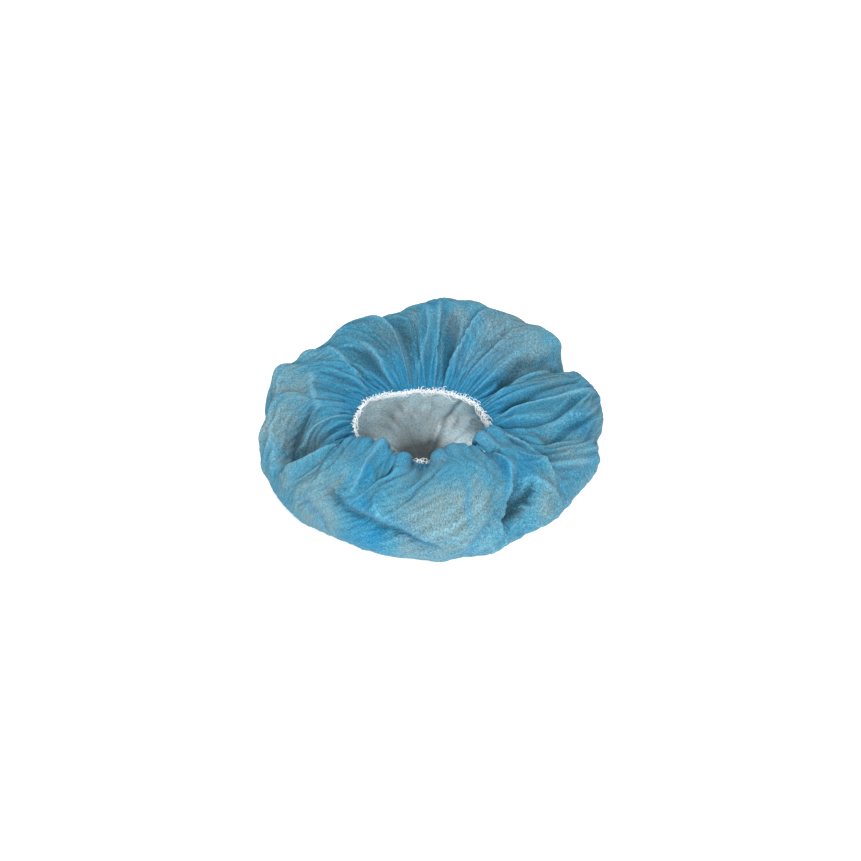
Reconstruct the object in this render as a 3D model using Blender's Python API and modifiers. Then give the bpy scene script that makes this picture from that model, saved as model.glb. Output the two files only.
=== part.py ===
"""Disposable hairnet: a gathered bag of thin cloth with an elastic loop round its mouth.

The cap lies on its crown with the mouth up, as it falls when it is taken out of the box.
Metres, +Z up, +Y away from the front. The origin is the middle of the footprint, on the floor.

Every place on the cloth has an azimuth, in degrees from +X and counter-clockwise from above,
and a way: 0 at the mouth, 1 on the crest, 2 at the widest part, 3 where the cloth meets the
floor and 4 in the middle of the crown. A column is a line of the cage from mouth to crown. It
has its azimuth at the mouth, and swings with the creases beside it on its way down.
"""

import math
from typing import NamedTuple

import bmesh
import bpy
import numpy as np

# Driving sizes of the bag
CAP_WIDTH = 0.272
CAP_DEPTH = 0.272
CAP_HEIGHT = 0.086
CLOTH_WALL = 0.001

# Driving sizes of the mouth and its elastic
MOUTH_WIDTH = 0.110
MOUTH_DEPTH = 0.094
MOUTH_HEIGHT = 0.042
MOUTH_SHIFT = 0.0062
HEM_HEIGHT = 0.0022
ELASTIC_DIAMETER = 0.0024
SEAM_GAP = 0.0003

# The small pleats that the elastic draws in, one to every two columns of the cage
PLEAT_DEPTH = 0.003
PLEAT_REACH = 0.75

# Shares of the outline and of the local height
FLOOR_SHARE = 0.74
SIDE_SHARE = 0.42
NECK_ROUND_SHARE = 1.45

# The cage before it is smoothed: its columns, and its rows from one named way to the next
COLUMNS = 60
NECK_ROWS = 4
SHOULDER_ROWS = 3
HEEL_ROWS = 2
FLOOR_ROWS = 2
SMOOTHING = 1
ELASTIC_BEVEL_ROWS = 2

CLOTH_BLUE = (0.085, 0.33, 0.50, 1.0)
ELASTIC_WHITE = (0.80, 0.84, 0.85, 1.0)


class Sector(NamedTuple):
    """The bag's form at one azimuth.

    reach: widest part, as a share of the cap's half width and half depth.
    rise: crest height, as a share of CAP_HEIGHT.
    crest: where the crest lies, from the mouth (0) to the widest part (1).
    mouth: the mouth's radius, as a share of its oval.
    """

    azimuth: float
    reach: float
    rise: float
    crest: float
    mouth: float


SECTORS = (
    Sector(0, 1.04, 0.78, 0.50, 0.98),
    Sector(14, 1.10, 0.84, 0.55, 0.96),
    Sector(22, 1.08, 0.84, 0.58, 0.97),
    Sector(29, 0.99, 0.82, 0.62, 0.98),
    Sector(38, 1.08, 0.98, 0.70, 1.00),
    Sector(55, 1.02, 0.96, 0.70, 0.98),
    Sector(77, 1.03, 1.10, 0.68, 0.98),
    Sector(95, 0.99, 0.96, 0.66, 0.97),
    Sector(120, 1.04, 0.93, 0.66, 0.98),
    Sector(140, 1.02, 0.85, 0.62, 1.08),
    Sector(152, 1.06, 0.84, 0.60, 1.05),
    Sector(162, 1.08, 0.84, 0.58, 1.02),
    Sector(176, 1.03, 0.76, 0.52, 1.00),
    Sector(195, 1.04, 0.72, 0.50, 0.99),
    Sector(218, 1.05, 0.78, 0.50, 1.00),
    Sector(245, 1.02, 0.77, 0.46, 0.98),
    Sector(270, 1.01, 0.80, 0.44, 0.98),
    Sector(290, 1.04, 0.88, 0.44, 0.98),
    Sector(320, 0.99, 0.85, 0.46, 1.00),
    Sector(342, 1.03, 0.78, 0.48, 1.00),
)


class Crease(NamedTuple):
    """A valley that runs from the mouth over the crest to the widest part.

    mouth, crest, side: its azimuth at each of the three, in degrees.
    neck_depth, crest_depth, side_depth: how deep, as shares of CAP_HEIGHT.
    width: its half width in degrees.
    """

    name: str
    mouth: float
    crest: float
    side: float
    neck_depth: float
    crest_depth: float
    side_depth: float
    width: float


CREASES = (
    Crease("right_high", 6, 3, 14, 0.11, 0.17, 0.04, 5),
    Crease("back_step", 36, 28, 27, 0.14, 0.22, 0.10, 6),
    Crease("back_right", 54, 52, 50, 0.11, 0.07, 0.00, 6),
    Crease("back_valley", 72, 80, 82, 0.18, 0.10, 0.00, 7),
    Crease("back_left", 102, 111, 114, 0.16, 0.10, 0.00, 7),
    Crease("left_back", 126, 146, 152, 0.14, 0.09, 0.01, 6),
    Crease("left_upper", 150, 166, 172, 0.12, 0.14, 0.03, 6),
    Crease("left_hollow", 180, 196, 204, 0.08, 0.24, 0.05, 13),
    Crease("left_roll_back", 204, 216, 213, 0.14, 0.22, 0.04, 6),
    Crease("left_roll_front", 252, 245, 238, 0.14, 0.22, 0.08, 6),
    Crease("front_puff_left", 270, 262, 250, 0.14, 0.18, 0.04, 6),
    Crease("front_puff_right", 312, 308, 301, 0.14, 0.22, 0.14, 6),
    Crease("right_roll_front", 336, 328, 332, 0.14, 0.20, 0.05, 6),
    Crease("right_low", 354, 343, 358, 0.11, 0.18, 0.04, 5),
)


class Tuck(NamedTuple):
    """A short dent between two places, each an azimuth in degrees and a way.

    depth: how deep, as a share of CAP_HEIGHT.
    width: its half width in degrees.
    """

    name: str
    azimuth_from: float
    way_from: float
    azimuth_to: float
    way_to: float
    depth: float
    width: float


TUCKS = (
    Tuck("front_diagonal", 236, 1.40, 266, 1.80, 0.13, 6),
    Tuck("right_dimple", 308, 1.45, 295, 1.75, 0.18, 6),
    Tuck("front_tuck", 285, 1.70, 284, 2.30, 0.07, 5),
    Tuck("crown_fold", 78, 3.00, 84, 3.50, 0.09, 6),
)

# Ways at which a crease's depth is given: mouth edge, neck, crest, side and its end
CREASE_WAYS = (0.0, 0.3, 1.0, 2.0, 2.8)
CREASE_SHARPNESS = 1.3
CREASE_SPREAD = 0.15
TUCK_SHARPNESS = 1.5
DEGREES_PER_WAY = 45


def clear_scene():
    """Removes what the start-up file holds."""
    for thing in list(bpy.data.objects):
        bpy.data.objects.remove(thing, do_unlink=True)


def make_material(name, colour, roughness):
    """A plain Principled material."""
    material = bpy.data.materials.new(name)
    material.use_nodes = True
    shader = material.node_tree.nodes["Principled BSDF"]
    shader.inputs["Base Color"].default_value = colour
    shader.inputs["Roughness"].default_value = roughness
    shader.inputs["Metallic"].default_value = 0.0
    return material


def turned_apart(first, second):
    """The angle from second to first, between -180 and 180 degrees."""
    return (first - second + 180) % 360 - 180


def around(column, azimuth):
    """A column of SECTORS at these azimuths, on a smooth closed curve through its rows."""
    at = np.array([sector.azimuth for sector in SECTORS], float)
    value = np.array([getattr(sector, column) for sector in SECTORS], float)
    before = (np.searchsorted(at, azimuth % 360, side="right") - 1) % len(at)
    after = (before + 1) % len(at)
    gap = (at[after] - at[before]) % 360
    share = ((azimuth - at[before]) % 360) / gap
    slope = (np.roll(value, -1) - np.roll(value, 1)) / ((np.roll(at, -1) - np.roll(at, 1)) % 360)
    eased = share**2 * (3 - 2 * share)
    leaving = gap * slope[before] * share * (1 - share) ** 2
    arriving = gap * slope[after] * share**2 * (1 - share)
    return value[before] * (1 - eased) + value[after] * eased + leaving - arriving


def oval(azimuth, width, depth):
    """The radius of an oval of this width and depth at these azimuths."""
    turn = np.radians(azimuth)
    return 1 / np.hypot(2 * np.cos(turn) / width, 2 * np.sin(turn) / depth)


def mouth_radius(azimuth):
    """The radius of the mouth's edge at these azimuths."""
    return oval(azimuth, MOUTH_WIDTH, MOUTH_DEPTH) * around("mouth", azimuth)


def swung_azimuth(column, way):
    """The azimuth of each column at each way, so that the columns run along the creases."""
    lines = np.array([[crease.mouth, crease.crest, crease.side] for crease in CREASES], float)
    swing = turned_apart(lines, lines[:, :1])
    return np.stack(
        [
            column + np.interp(column, lines[:, 0], [np.interp(at, (0, 1, 2), row) for row in swing], period=360)
            for at in way
        ]
    )


def smooth_bag(azimuth, way):
    """(radius, height) of the bag before it is creased.

    From mouth to crest the section is a quarter of a superellipse, from crest to side and
    from side to floor it is a quarter of an ellipse, and the crown lies flat.
    """
    side_radius = oval(azimuth, CAP_WIDTH, CAP_DEPTH) * around("reach", azimuth)
    crest_height = CAP_HEIGHT * around("rise", azimuth)
    edge_radius = mouth_radius(azimuth)
    floor_radius = side_radius * FLOOR_SHARE
    side_height = crest_height * SIDE_SHARE
    crest_radius = edge_radius + (side_radius - edge_radius) * around("crest", azimuth)

    neck = np.clip(1 - way, 0, 1) * math.pi / 2
    inward = np.sin(neck) ** (2 / NECK_ROUND_SHARE)
    upward = np.cos(neck) ** (2 / NECK_ROUND_SHARE)
    shoulder = np.clip(way - 1, 0, 1) * math.pi / 2
    heel = np.clip(way - 2, 0, 1) * math.pi / 2
    stretches = (way <= 1, way <= 2, way <= 3)

    radius = (
        crest_radius - (crest_radius - edge_radius) * inward,
        crest_radius + (side_radius - crest_radius) * np.sin(shoulder),
        floor_radius + (side_radius - floor_radius) * np.cos(heel),
    )
    height = (
        MOUTH_HEIGHT + (crest_height - MOUTH_HEIGHT) * upward,
        side_height + (crest_height - side_height) * np.cos(shoulder),
        side_height * (1 - np.sin(heel)),
    )
    return np.select(stretches, radius, floor_radius * (4 - way)), np.select(stretches, height, 0.0)


def crease_depth(azimuth, way):
    """How far the creases and tucks draw the cloth in, in metres."""
    creases = np.zeros_like(azimuth)
    for crease in CREASES:
        line = np.interp(way, (0, 1, 2), (crease.mouth, crease.crest, crease.side))
        depths = (0, crease.neck_depth, crease.crest_depth, crease.side_depth, 0)
        depth = np.interp(way, CREASE_WAYS, depths)
        off = np.abs(turned_apart(azimuth, line)) / (crease.width * (1 + CREASE_SPREAD * way))
        creases = np.maximum(creases, depth * np.exp(-(off**CREASE_SHARPNESS)))

    tucks = np.zeros_like(azimuth)
    for tuck in TUCKS:
        across = turned_apart(azimuth, tuck.azimuth_from)
        down = (way - tuck.way_from) * DEGREES_PER_WAY
        run_across = turned_apart(tuck.azimuth_to, tuck.azimuth_from)
        run_down = (tuck.way_to - tuck.way_from) * DEGREES_PER_WAY
        share = (across * run_across + down * run_down) / (run_across**2 + run_down**2)
        share = np.clip(share, 0, 1)
        off = np.hypot(across - share * run_across, down - share * run_down) / tuck.width
        tucks = np.maximum(tucks, tuck.depth * np.exp(-(off**TUCK_SHARPNESS)))
    return (creases + tucks) * CAP_HEIGHT


def pleat_depth(column, way):
    """The ripple of the small pleats: none at the sewn edge, deepest just above it."""
    swell = np.sin(np.clip(way / PLEAT_REACH, 0, 1) * math.pi)
    return PLEAT_DEPTH * swell * np.cos(np.radians(column) * COLUMNS / 2)


def cloth_points(column, way):
    """The outer face of the cloth as a grid of points, a row for each way.

    The creases and pleats move the smooth bag along its own normal, which lies in the
    upright plane through the axis and is found from the section's slope.
    """
    azimuth = swung_azimuth(column, way)
    way = np.broadcast_to(way[:, None], azimuth.shape)
    radius, height = smooth_bag(azimuth, way)
    step = 0.001
    radius_next, height_next = smooth_bag(azimuth, np.clip(way + step, 0, 4))
    radius_last, height_last = smooth_bag(azimuth, np.clip(way - step, 0, 4))
    run, climb = radius_next - radius_last, height_next - height_last
    length = np.hypot(run, climb)
    inward = crease_depth(azimuth, way) + pleat_depth(column, way)
    radius = radius + climb / length * inward
    height = np.maximum(height - run / length * inward, 0)

    turn = np.radians(azimuth)
    drift = -MOUTH_SHIFT * np.clip(1 - way, 0, 1)
    return np.stack([radius * np.cos(turn) + drift, radius * np.sin(turn), height], axis=-1)


def with_hem(points):
    """The same grid with one more row at its start: the straight hem that hangs at the mouth."""
    edge = points[:1] - np.array([0.0, 0.0, HEM_HEIGHT])
    return np.concatenate([edge, points])


def footprint_middle(points):
    """The middle of the points' box on the floor."""
    flat = points.reshape(-1, 3)[:, :2]
    return np.append((flat.min(axis=0) + flat.max(axis=0)) / 2, 0.0)


def make_cap_body(points, material):
    """The bag: an open cage from the mouth to the crown, smoothed and then given its wall."""
    cage = bmesh.new()
    rings = [[cage.verts.new(point) for point in row] for row in points.tolist()]
    for upper, lower in zip(rings, rings[1:]):
        for here in range(len(upper)):
            after = (here + 1) % len(upper)
            cage.faces.new((upper[here], lower[here], lower[after], upper[after]))
    cage.faces.new(reversed(rings[-1]))
    mesh = bpy.data.meshes.new("cap_body")
    cage.to_mesh(mesh)
    cage.free()
    mesh.materials.append(material)
    mesh.shade_smooth()

    cap = bpy.data.objects.new("cap_body", mesh)
    smooth = cap.modifiers.new("soft folds", "SUBSURF")
    smooth.levels = SMOOTHING
    smooth.render_levels = SMOOTHING
    wall = cap.modifiers.new("cloth wall", "SOLIDIFY")
    wall.thickness = CLOTH_WALL
    wall.offset = -1
    return cap


def make_elastic_band(column, middle, material):
    """The elastic: a closed round loop, just under the hem and in line with it."""
    turn = np.radians(column)
    radius = mouth_radius(column) + CLOTH_WALL / 2
    height = MOUTH_HEIGHT - HEM_HEIGHT - SEAM_GAP - ELASTIC_DIAMETER / 2
    loop = np.stack(
        [radius * np.cos(turn) - MOUTH_SHIFT, radius * np.sin(turn), np.full_like(turn, height)],
        axis=-1,
    )
    curve = bpy.data.curves.new("elastic_band", "CURVE")
    curve.dimensions = "3D"
    curve.bevel_depth = ELASTIC_DIAMETER / 2
    curve.bevel_resolution = ELASTIC_BEVEL_ROWS
    line = curve.splines.new("POLY")
    line.points.add(len(loop) - 1)
    for point, place in zip(line.points, (loop - middle).tolist()):
        point.co = (*place, 1.0)
    line.use_cyclic_u = True
    curve.materials.append(material)
    return bpy.data.objects.new("elastic_band", curve)


def main():
    """Builds the two pieces and puts them in the hairnet's collection."""
    clear_scene()
    hairnet = bpy.data.collections.new("hairnet")
    bpy.context.scene.collection.children.link(hairnet)

    column = np.arange(COLUMNS) * 360 / COLUMNS
    way = np.concatenate(
        [
            np.arange(NECK_ROWS) / NECK_ROWS,
            1 + np.arange(SHOULDER_ROWS) / SHOULDER_ROWS,
            2 + np.arange(HEEL_ROWS) / HEEL_ROWS,
            3 + np.arange(FLOOR_ROWS) / FLOOR_ROWS,
        ]
    )
    points = with_hem(cloth_points(column, way))
    middle = footprint_middle(points)

    cloth = make_material("blue_nonwoven_cloth", CLOTH_BLUE, 0.85)
    elastic = make_material("white_elastic", ELASTIC_WHITE, 0.7)
    hairnet.objects.link(make_cap_body(points - middle, cloth))
    hairnet.objects.link(make_elastic_band(column, middle, elastic))


main()
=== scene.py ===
"""The looks of a disposable hairnet that lies on its crown with its mouth open upwards.

The cap is one disc of thin blue non-woven cloth. An elastic draws its edge in, and white overlock
thread binds the two. Every place on the cloth has an azimuth, in degrees from +X and
counter-clockwise from above, and a way: 0 at the mouth, 1 on the crest, 2 at the widest part,
3 where the cloth meets the floor and 4 in the middle of the crown. Lengths are in metres.
"""

import logging
import math
from dataclasses import dataclass
from enum import Enum

import bpy
import numpy as np
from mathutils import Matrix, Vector


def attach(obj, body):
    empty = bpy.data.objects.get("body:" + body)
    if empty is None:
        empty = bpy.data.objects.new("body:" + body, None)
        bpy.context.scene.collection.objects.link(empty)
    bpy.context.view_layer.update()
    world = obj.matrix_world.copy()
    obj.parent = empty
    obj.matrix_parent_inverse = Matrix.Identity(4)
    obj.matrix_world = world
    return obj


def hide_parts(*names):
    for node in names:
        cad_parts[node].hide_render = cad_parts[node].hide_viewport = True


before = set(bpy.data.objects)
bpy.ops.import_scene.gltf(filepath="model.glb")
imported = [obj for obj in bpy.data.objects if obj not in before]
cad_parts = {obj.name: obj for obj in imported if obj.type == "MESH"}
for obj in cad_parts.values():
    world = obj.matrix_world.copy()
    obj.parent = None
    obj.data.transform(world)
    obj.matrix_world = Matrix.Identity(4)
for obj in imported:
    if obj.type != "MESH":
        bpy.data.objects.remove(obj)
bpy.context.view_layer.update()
LOG = logging.getLogger("hairnet")

Socket = bpy.types.NodeSocket

CUT_WIDTH = 0.533


@dataclass(frozen=True)
class Sector:
    """The bag's form at one azimuth.

    reach: widest part, as a share of the cap's half width and half depth.
    rise: the crest's height, as a share of the cap's height.
    crest: where the crest lies, from the mouth (0) to the widest part (1).
    mouth: the mouth's radius, as a share of its oval.
    """

    azimuth: float
    reach: float
    rise: float
    crest: float
    mouth: float


SECTORS = (
    Sector(0, 1.04, 0.78, 0.50, 0.98),
    Sector(14, 1.10, 0.84, 0.55, 0.96),
    Sector(22, 1.08, 0.84, 0.58, 0.97),
    Sector(29, 0.99, 0.82, 0.62, 0.98),
    Sector(38, 1.08, 0.98, 0.70, 1.00),
    Sector(55, 1.02, 0.96, 0.70, 0.98),
    Sector(77, 1.03, 1.10, 0.68, 0.98),
    Sector(95, 0.99, 0.96, 0.66, 0.97),
    Sector(120, 1.04, 0.93, 0.66, 0.98),
    Sector(140, 1.02, 0.85, 0.62, 1.08),
    Sector(152, 1.06, 0.84, 0.60, 1.05),
    Sector(162, 1.08, 0.84, 0.58, 1.02),
    Sector(176, 1.03, 0.76, 0.52, 1.00),
    Sector(195, 1.04, 0.72, 0.50, 0.99),
    Sector(218, 1.05, 0.78, 0.50, 1.00),
    Sector(245, 1.02, 0.77, 0.46, 0.98),
    Sector(270, 1.01, 0.80, 0.44, 0.98),
    Sector(290, 1.04, 0.88, 0.44, 0.98),
    Sector(320, 0.99, 0.85, 0.46, 1.00),
    Sector(342, 1.03, 0.78, 0.48, 1.00),
)


@dataclass(frozen=True)
class Crease:
    """A valley that runs from the mouth over the crest to the widest part.

    mouth, crest, side: its azimuth at each of the three, in degrees.
    neck_depth, crest_depth, side_depth: how deep, as shares of the cap's height.
    width: its half width in degrees.
    """

    name: str
    mouth: float
    crest: float
    side: float
    neck_depth: float
    crest_depth: float
    side_depth: float
    width: float


CREASES = (
    Crease("right_high", 6, 3, 14, 0.11, 0.17, 0.04, 5),
    Crease("back_step", 36, 28, 27, 0.14, 0.22, 0.10, 6),
    Crease("back_right", 54, 52, 50, 0.11, 0.07, 0.00, 6),
    Crease("back_valley", 72, 80, 82, 0.18, 0.10, 0.00, 7),
    Crease("back_left", 102, 111, 114, 0.16, 0.10, 0.00, 7),
    Crease("left_back", 126, 146, 152, 0.14, 0.09, 0.01, 6),
    Crease("left_upper", 150, 166, 172, 0.12, 0.14, 0.03, 6),
    Crease("left_hollow", 180, 196, 204, 0.08, 0.24, 0.05, 13),
    Crease("left_roll_back", 204, 216, 213, 0.14, 0.22, 0.04, 6),
    Crease("left_roll_front", 252, 245, 238, 0.14, 0.22, 0.08, 6),
    Crease("front_puff_left", 270, 262, 250, 0.14, 0.18, 0.04, 6),
    Crease("front_puff_right", 312, 308, 301, 0.14, 0.22, 0.14, 6),
    Crease("right_roll_front", 336, 328, 332, 0.14, 0.20, 0.05, 6),
    Crease("right_low", 354, 343, 358, 0.11, 0.18, 0.04, 5),
)


@dataclass(frozen=True)
class Tuck:
    """A short dent between two places, each an azimuth in degrees and a way.

    depth: how deep, as a share of the cap's height.
    width: its half width in degrees.
    """

    name: str
    azimuth_from: float
    way_from: float
    azimuth_to: float
    way_to: float
    depth: float
    width: float


TUCKS = (
    Tuck("front_diagonal", 236, 1.40, 266, 1.80, 0.13, 6),
    Tuck("right_dimple", 308, 1.45, 295, 1.75, 0.18, 6),
    Tuck("front_tuck", 285, 1.70, 284, 2.30, 0.07, 5),
    Tuck("crown_fold", 78, 3.00, 84, 3.50, 0.09, 6),
)


@dataclass(frozen=True)
class Fold:
    """A sharp line on the cloth.

    places: points that it runs through, from the outside inward, each a column in degrees and
        a way.
    height: how far the line stands out of the bag, or into it where negative.
    width: how far its slopes reach to each side.
    step: how much higher the side of the lower columns is than the other.
    rim: how strong the painted highlight along its edge is, from 0 to 1; on the inner face it is
    painted shade.
    edge: half the width of that edge.
    """

    name: str
    places: tuple[tuple[float, float], ...]
    height: float
    width: float
    step: float = 0.0
    rim: float = 0.0
    edge: float = 0.0017


FOLDS = (
    Fold(
        "back_lobe_edge",
        ((106, 1.4), (100, 0.77), (100, 0.55), (100, 0.38), (101, 0.08)),
        0.0025, 0.005, -0.01, 0.9,
    ),
    Fold(
        "back_lobe_pleat",
        ((117, 0.75), (116, 0.48), (118, 0.28), (117, 0.05)),
        0.002, 0.004, 0.0036, 0.7,
    ),
    Fold(
        "band_left",
        ((82, 1.1), (83, 0.66), (87, 0.44), (94, 0.31), (96, 0.08)),
        0.0015, 0.0035, -0.0012, 0.4,
    ),
    Fold(
        "band_right",
        ((76, 1.2), (78, 0.53), (77, 0.34), (77, 0.05)),
        0.0018, 0.0035, -0.0055, 0.7,
    ),
    Fold(
        "right_panel_edge",
        ((62, 1.1), (66, 0.53), (69, 0.31), (70, 0.05)),
        0.0022, 0.005, 0.0067, 0.9,
    ),
    Fold(
        "right_panel_pleat",
        ((52, 0.8), (52, 0.6), (55, 0.3), (56, 0.05)),
        0.0015, 0.004, 0.0024, 0.4,
    ),
    Fold("notch", ((40, 1.7), (38, 0.95), (39, 0.67), (37, 0.44), (31, 0.12)), -0.0042, 0.004),
    Fold(
        "notch_lobe",
        ((36, 1.5), (35, 0.92), (34, 0.64), (27, 0.40), (21, 0.05)),
        0.0028, 0.005, 0.0024, 0.6,
    ),
    Fold("right_dark_upper", ((19, 1.5), (17, 0.95), (14, 0.69), (9, 0.31)), -0.0032, 0.0035),
    Fold(
        "right_lobe_ridge",
        ((15, 1.75), (11, 1.14), (9, 0.74), (8, 0.44), (4, 0.05)),
        0.0032, 0.005, 0.0067, 1.0,
    ),
    Fold("right_valley", ((12, 1.5), (7, 1.28), (0, 1.01), (358, 0.73), (356, 0.1)), -0.004, 0.004),
    Fold(
        "right_low_valley",
        ((2, 1.8), (356, 1.24), (346, 0.97), (344, 0.66), (352, 0.08)),
        -0.0045, 0.005,
    ),
    Fold(
        "front_right_ridge",
        ((327, 1.8), (331, 1.36), (336, 1.13), (339, 0.84), (341, 0.39), (344, 0.1)),
        0.0028, 0.005, 0.0053, 0.8,
    ),
    Fold("front_right_tuck", ((345, 1.75), (338, 1.49), (331, 1.32)), 0.0022, 0.004, 0.0012, 0.7),
    Fold(
        "puff_right_edge",
        ((306, 2.2), (310, 1.58), (314, 1.27), (318, 1.11), (317, 0.9), (316, 0.76)),
        0.0025, 0.005, 0.0085, 0.8,
    ),
    Fold(
        "puff_crease",
        ((297, 1.78), (294, 1.52), (294, 1.31), (291, 1.0)),
        -0.0013, 0.002, 0.0, 0.3,
    ),
    Fold("puff_foot", ((297, 2.6), (298, 1.98), (301, 1.78)), -0.0032, 0.003, 0.0, 0.4),
    Fold(
        "left_roll_ridge",
        ((185, 1.8), (191, 1.57), (196, 1.24), (200, 0.63), (203, 0.1)),
        0.0036, 0.006, -0.01, 0.9,
    ),
    Fold(
        "small_puff_foot",
        ((250, 0.95), (257, 0.9), (263, 0.68), (267, 0.1)),
        -0.0045, 0.0035, 0.0, 0.3,
    ),
    Fold(
        "roll_front_edge",
        ((242, 1.45), (240, 1.28), (237, 1.04), (234, 0.8), (232, 0.3)),
        0.0022, 0.004, -0.003, 0.5,
    ),
    Fold(
        "front_diagonal",
        ((292, 2.05), (281, 1.80), (274, 1.66), (266, 1.60), (253, 1.50), (242, 1.42)),
        -0.002, 0.004, -0.0085, 0.5,
    ),
    Fold(
        "puff_left_edge",
        ((245, 1.45), (248, 1.18), (251, 0.93), (257, 0.72)),
        0.0022, 0.004, -0.0041, 0.6,
    ),
    Fold("left_hollow", ((184, 1.45), (172, 1.18), (166, 0.93), (158, 0.80)), -0.0075, 0.01),
    Fold(
        "hollow_ridge",
        ((177, 1.1), (172, 0.92), (172, 0.68), (172, 0.46), (170, 0.06)),
        0.0035, 0.005, -0.0024, 0.7,
    ),
    Fold(
        "left_lobe_ridge",
        ((120, 1.3), (124, 0.72), (128, 0.53), (137, 0.26), (140, 0.05)),
        0.0028, 0.005, -0.006, 0.9,
    ),
    Fold(
        "left_lobe_crease",
        ((140, 1.0), (145, 0.83), (151, 0.8), (163, 0.72)),
        0.0022, 0.004, 0.0, 0.5,
    ),
    Fold("dimple", ((320, 1.50), (317, 1.62), (313, 1.73), (309, 1.83)), -0.009, 0.0045, 0.002),
    Fold("puff_dent", ((272, 1.35), (272, 1.12), (278, 1.0)), -0.002, 0.003, 0.0, 0.3),
    Fold("left_long", ((184, 1.75), (170, 1.62), (156, 1.6), (144, 1.45)), 0.0022, 0.006, 0.0, 0.5),
    Fold("left_low", ((212, 1.8), (222, 1.75), (234, 1.85), (240, 2.1)), -0.003, 0.006, 0.0, 0.3),
    Fold("right_low", ((322, 1.95), (334, 1.75), (350, 1.9)), -0.0028, 0.006, 0.0, 0.3),
    Fold(
        "inside_long",
        ((63, 2.9), (66, 3.2), (68, 3.45), (69, 3.60)),
        -0.003, 0.003, 0.005, 0.9, 0.001,
    ),
    Fold(
        "inside_right",
        ((44, 3.25), (56, 3.4), (62, 3.5), (69, 3.6)),
        -0.004, 0.004, -0.006, 0.6, 0.001,
    ),
    Fold("inside_right_low", ((40, 3.05), (47, 3.2), (54, 3.25)), -0.004, 0.004, 0.005, 0.6, 0.001),
    Fold(
        "inside_left",
        ((90, 3.15), (98, 3.3), (106, 3.4), (116, 3.6)),
        -0.0045, 0.006, 0.0, 0.6, 0.001,
    ),
    Fold("inside_front", ((230, 3.1), (240, 3.3), (262, 3.5)), -0.0045, 0.005, 0.0, 0.5, 0.001),
    Fold("inside_side", ((310, 3.1), (322, 3.3), (330, 3.6)), -0.0045, 0.005, 0.0, 0.5, 0.001),
    Fold("inside_far_left", ((150, 3.1), (158, 3.3), (176, 3.6)), -0.0045, 0.005, 0.0, 0.5, 0.001),
    Fold("inside_far_right", ((4, 3.1), (12, 3.4), (30, 3.7)), -0.0045, 0.005, 0.0, 0.5, 0.001),
)


@dataclass(frozen=True)
class Patch:
    """A place on the cloth with soft edges.

    column, way: its middle.
    size: its radius in metres.
    swell: how far it stands out, in metres.
    tone: from -1, dense and deep blue, to 1, thin and grey; the grey is partly painted shade, the
        darker inside seen through thin cloth.
    shade: painted shade, how much darker it is coloured, in hollows and where nothing pale lies
        behind the cloth; below 0 it takes painted shade away, and on the crown's inner face it
        paints light.
    """

    name: str
    column: float
    way: float
    size: float
    swell: float
    tone: float = 0.0
    shade: float = 0.0


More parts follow.
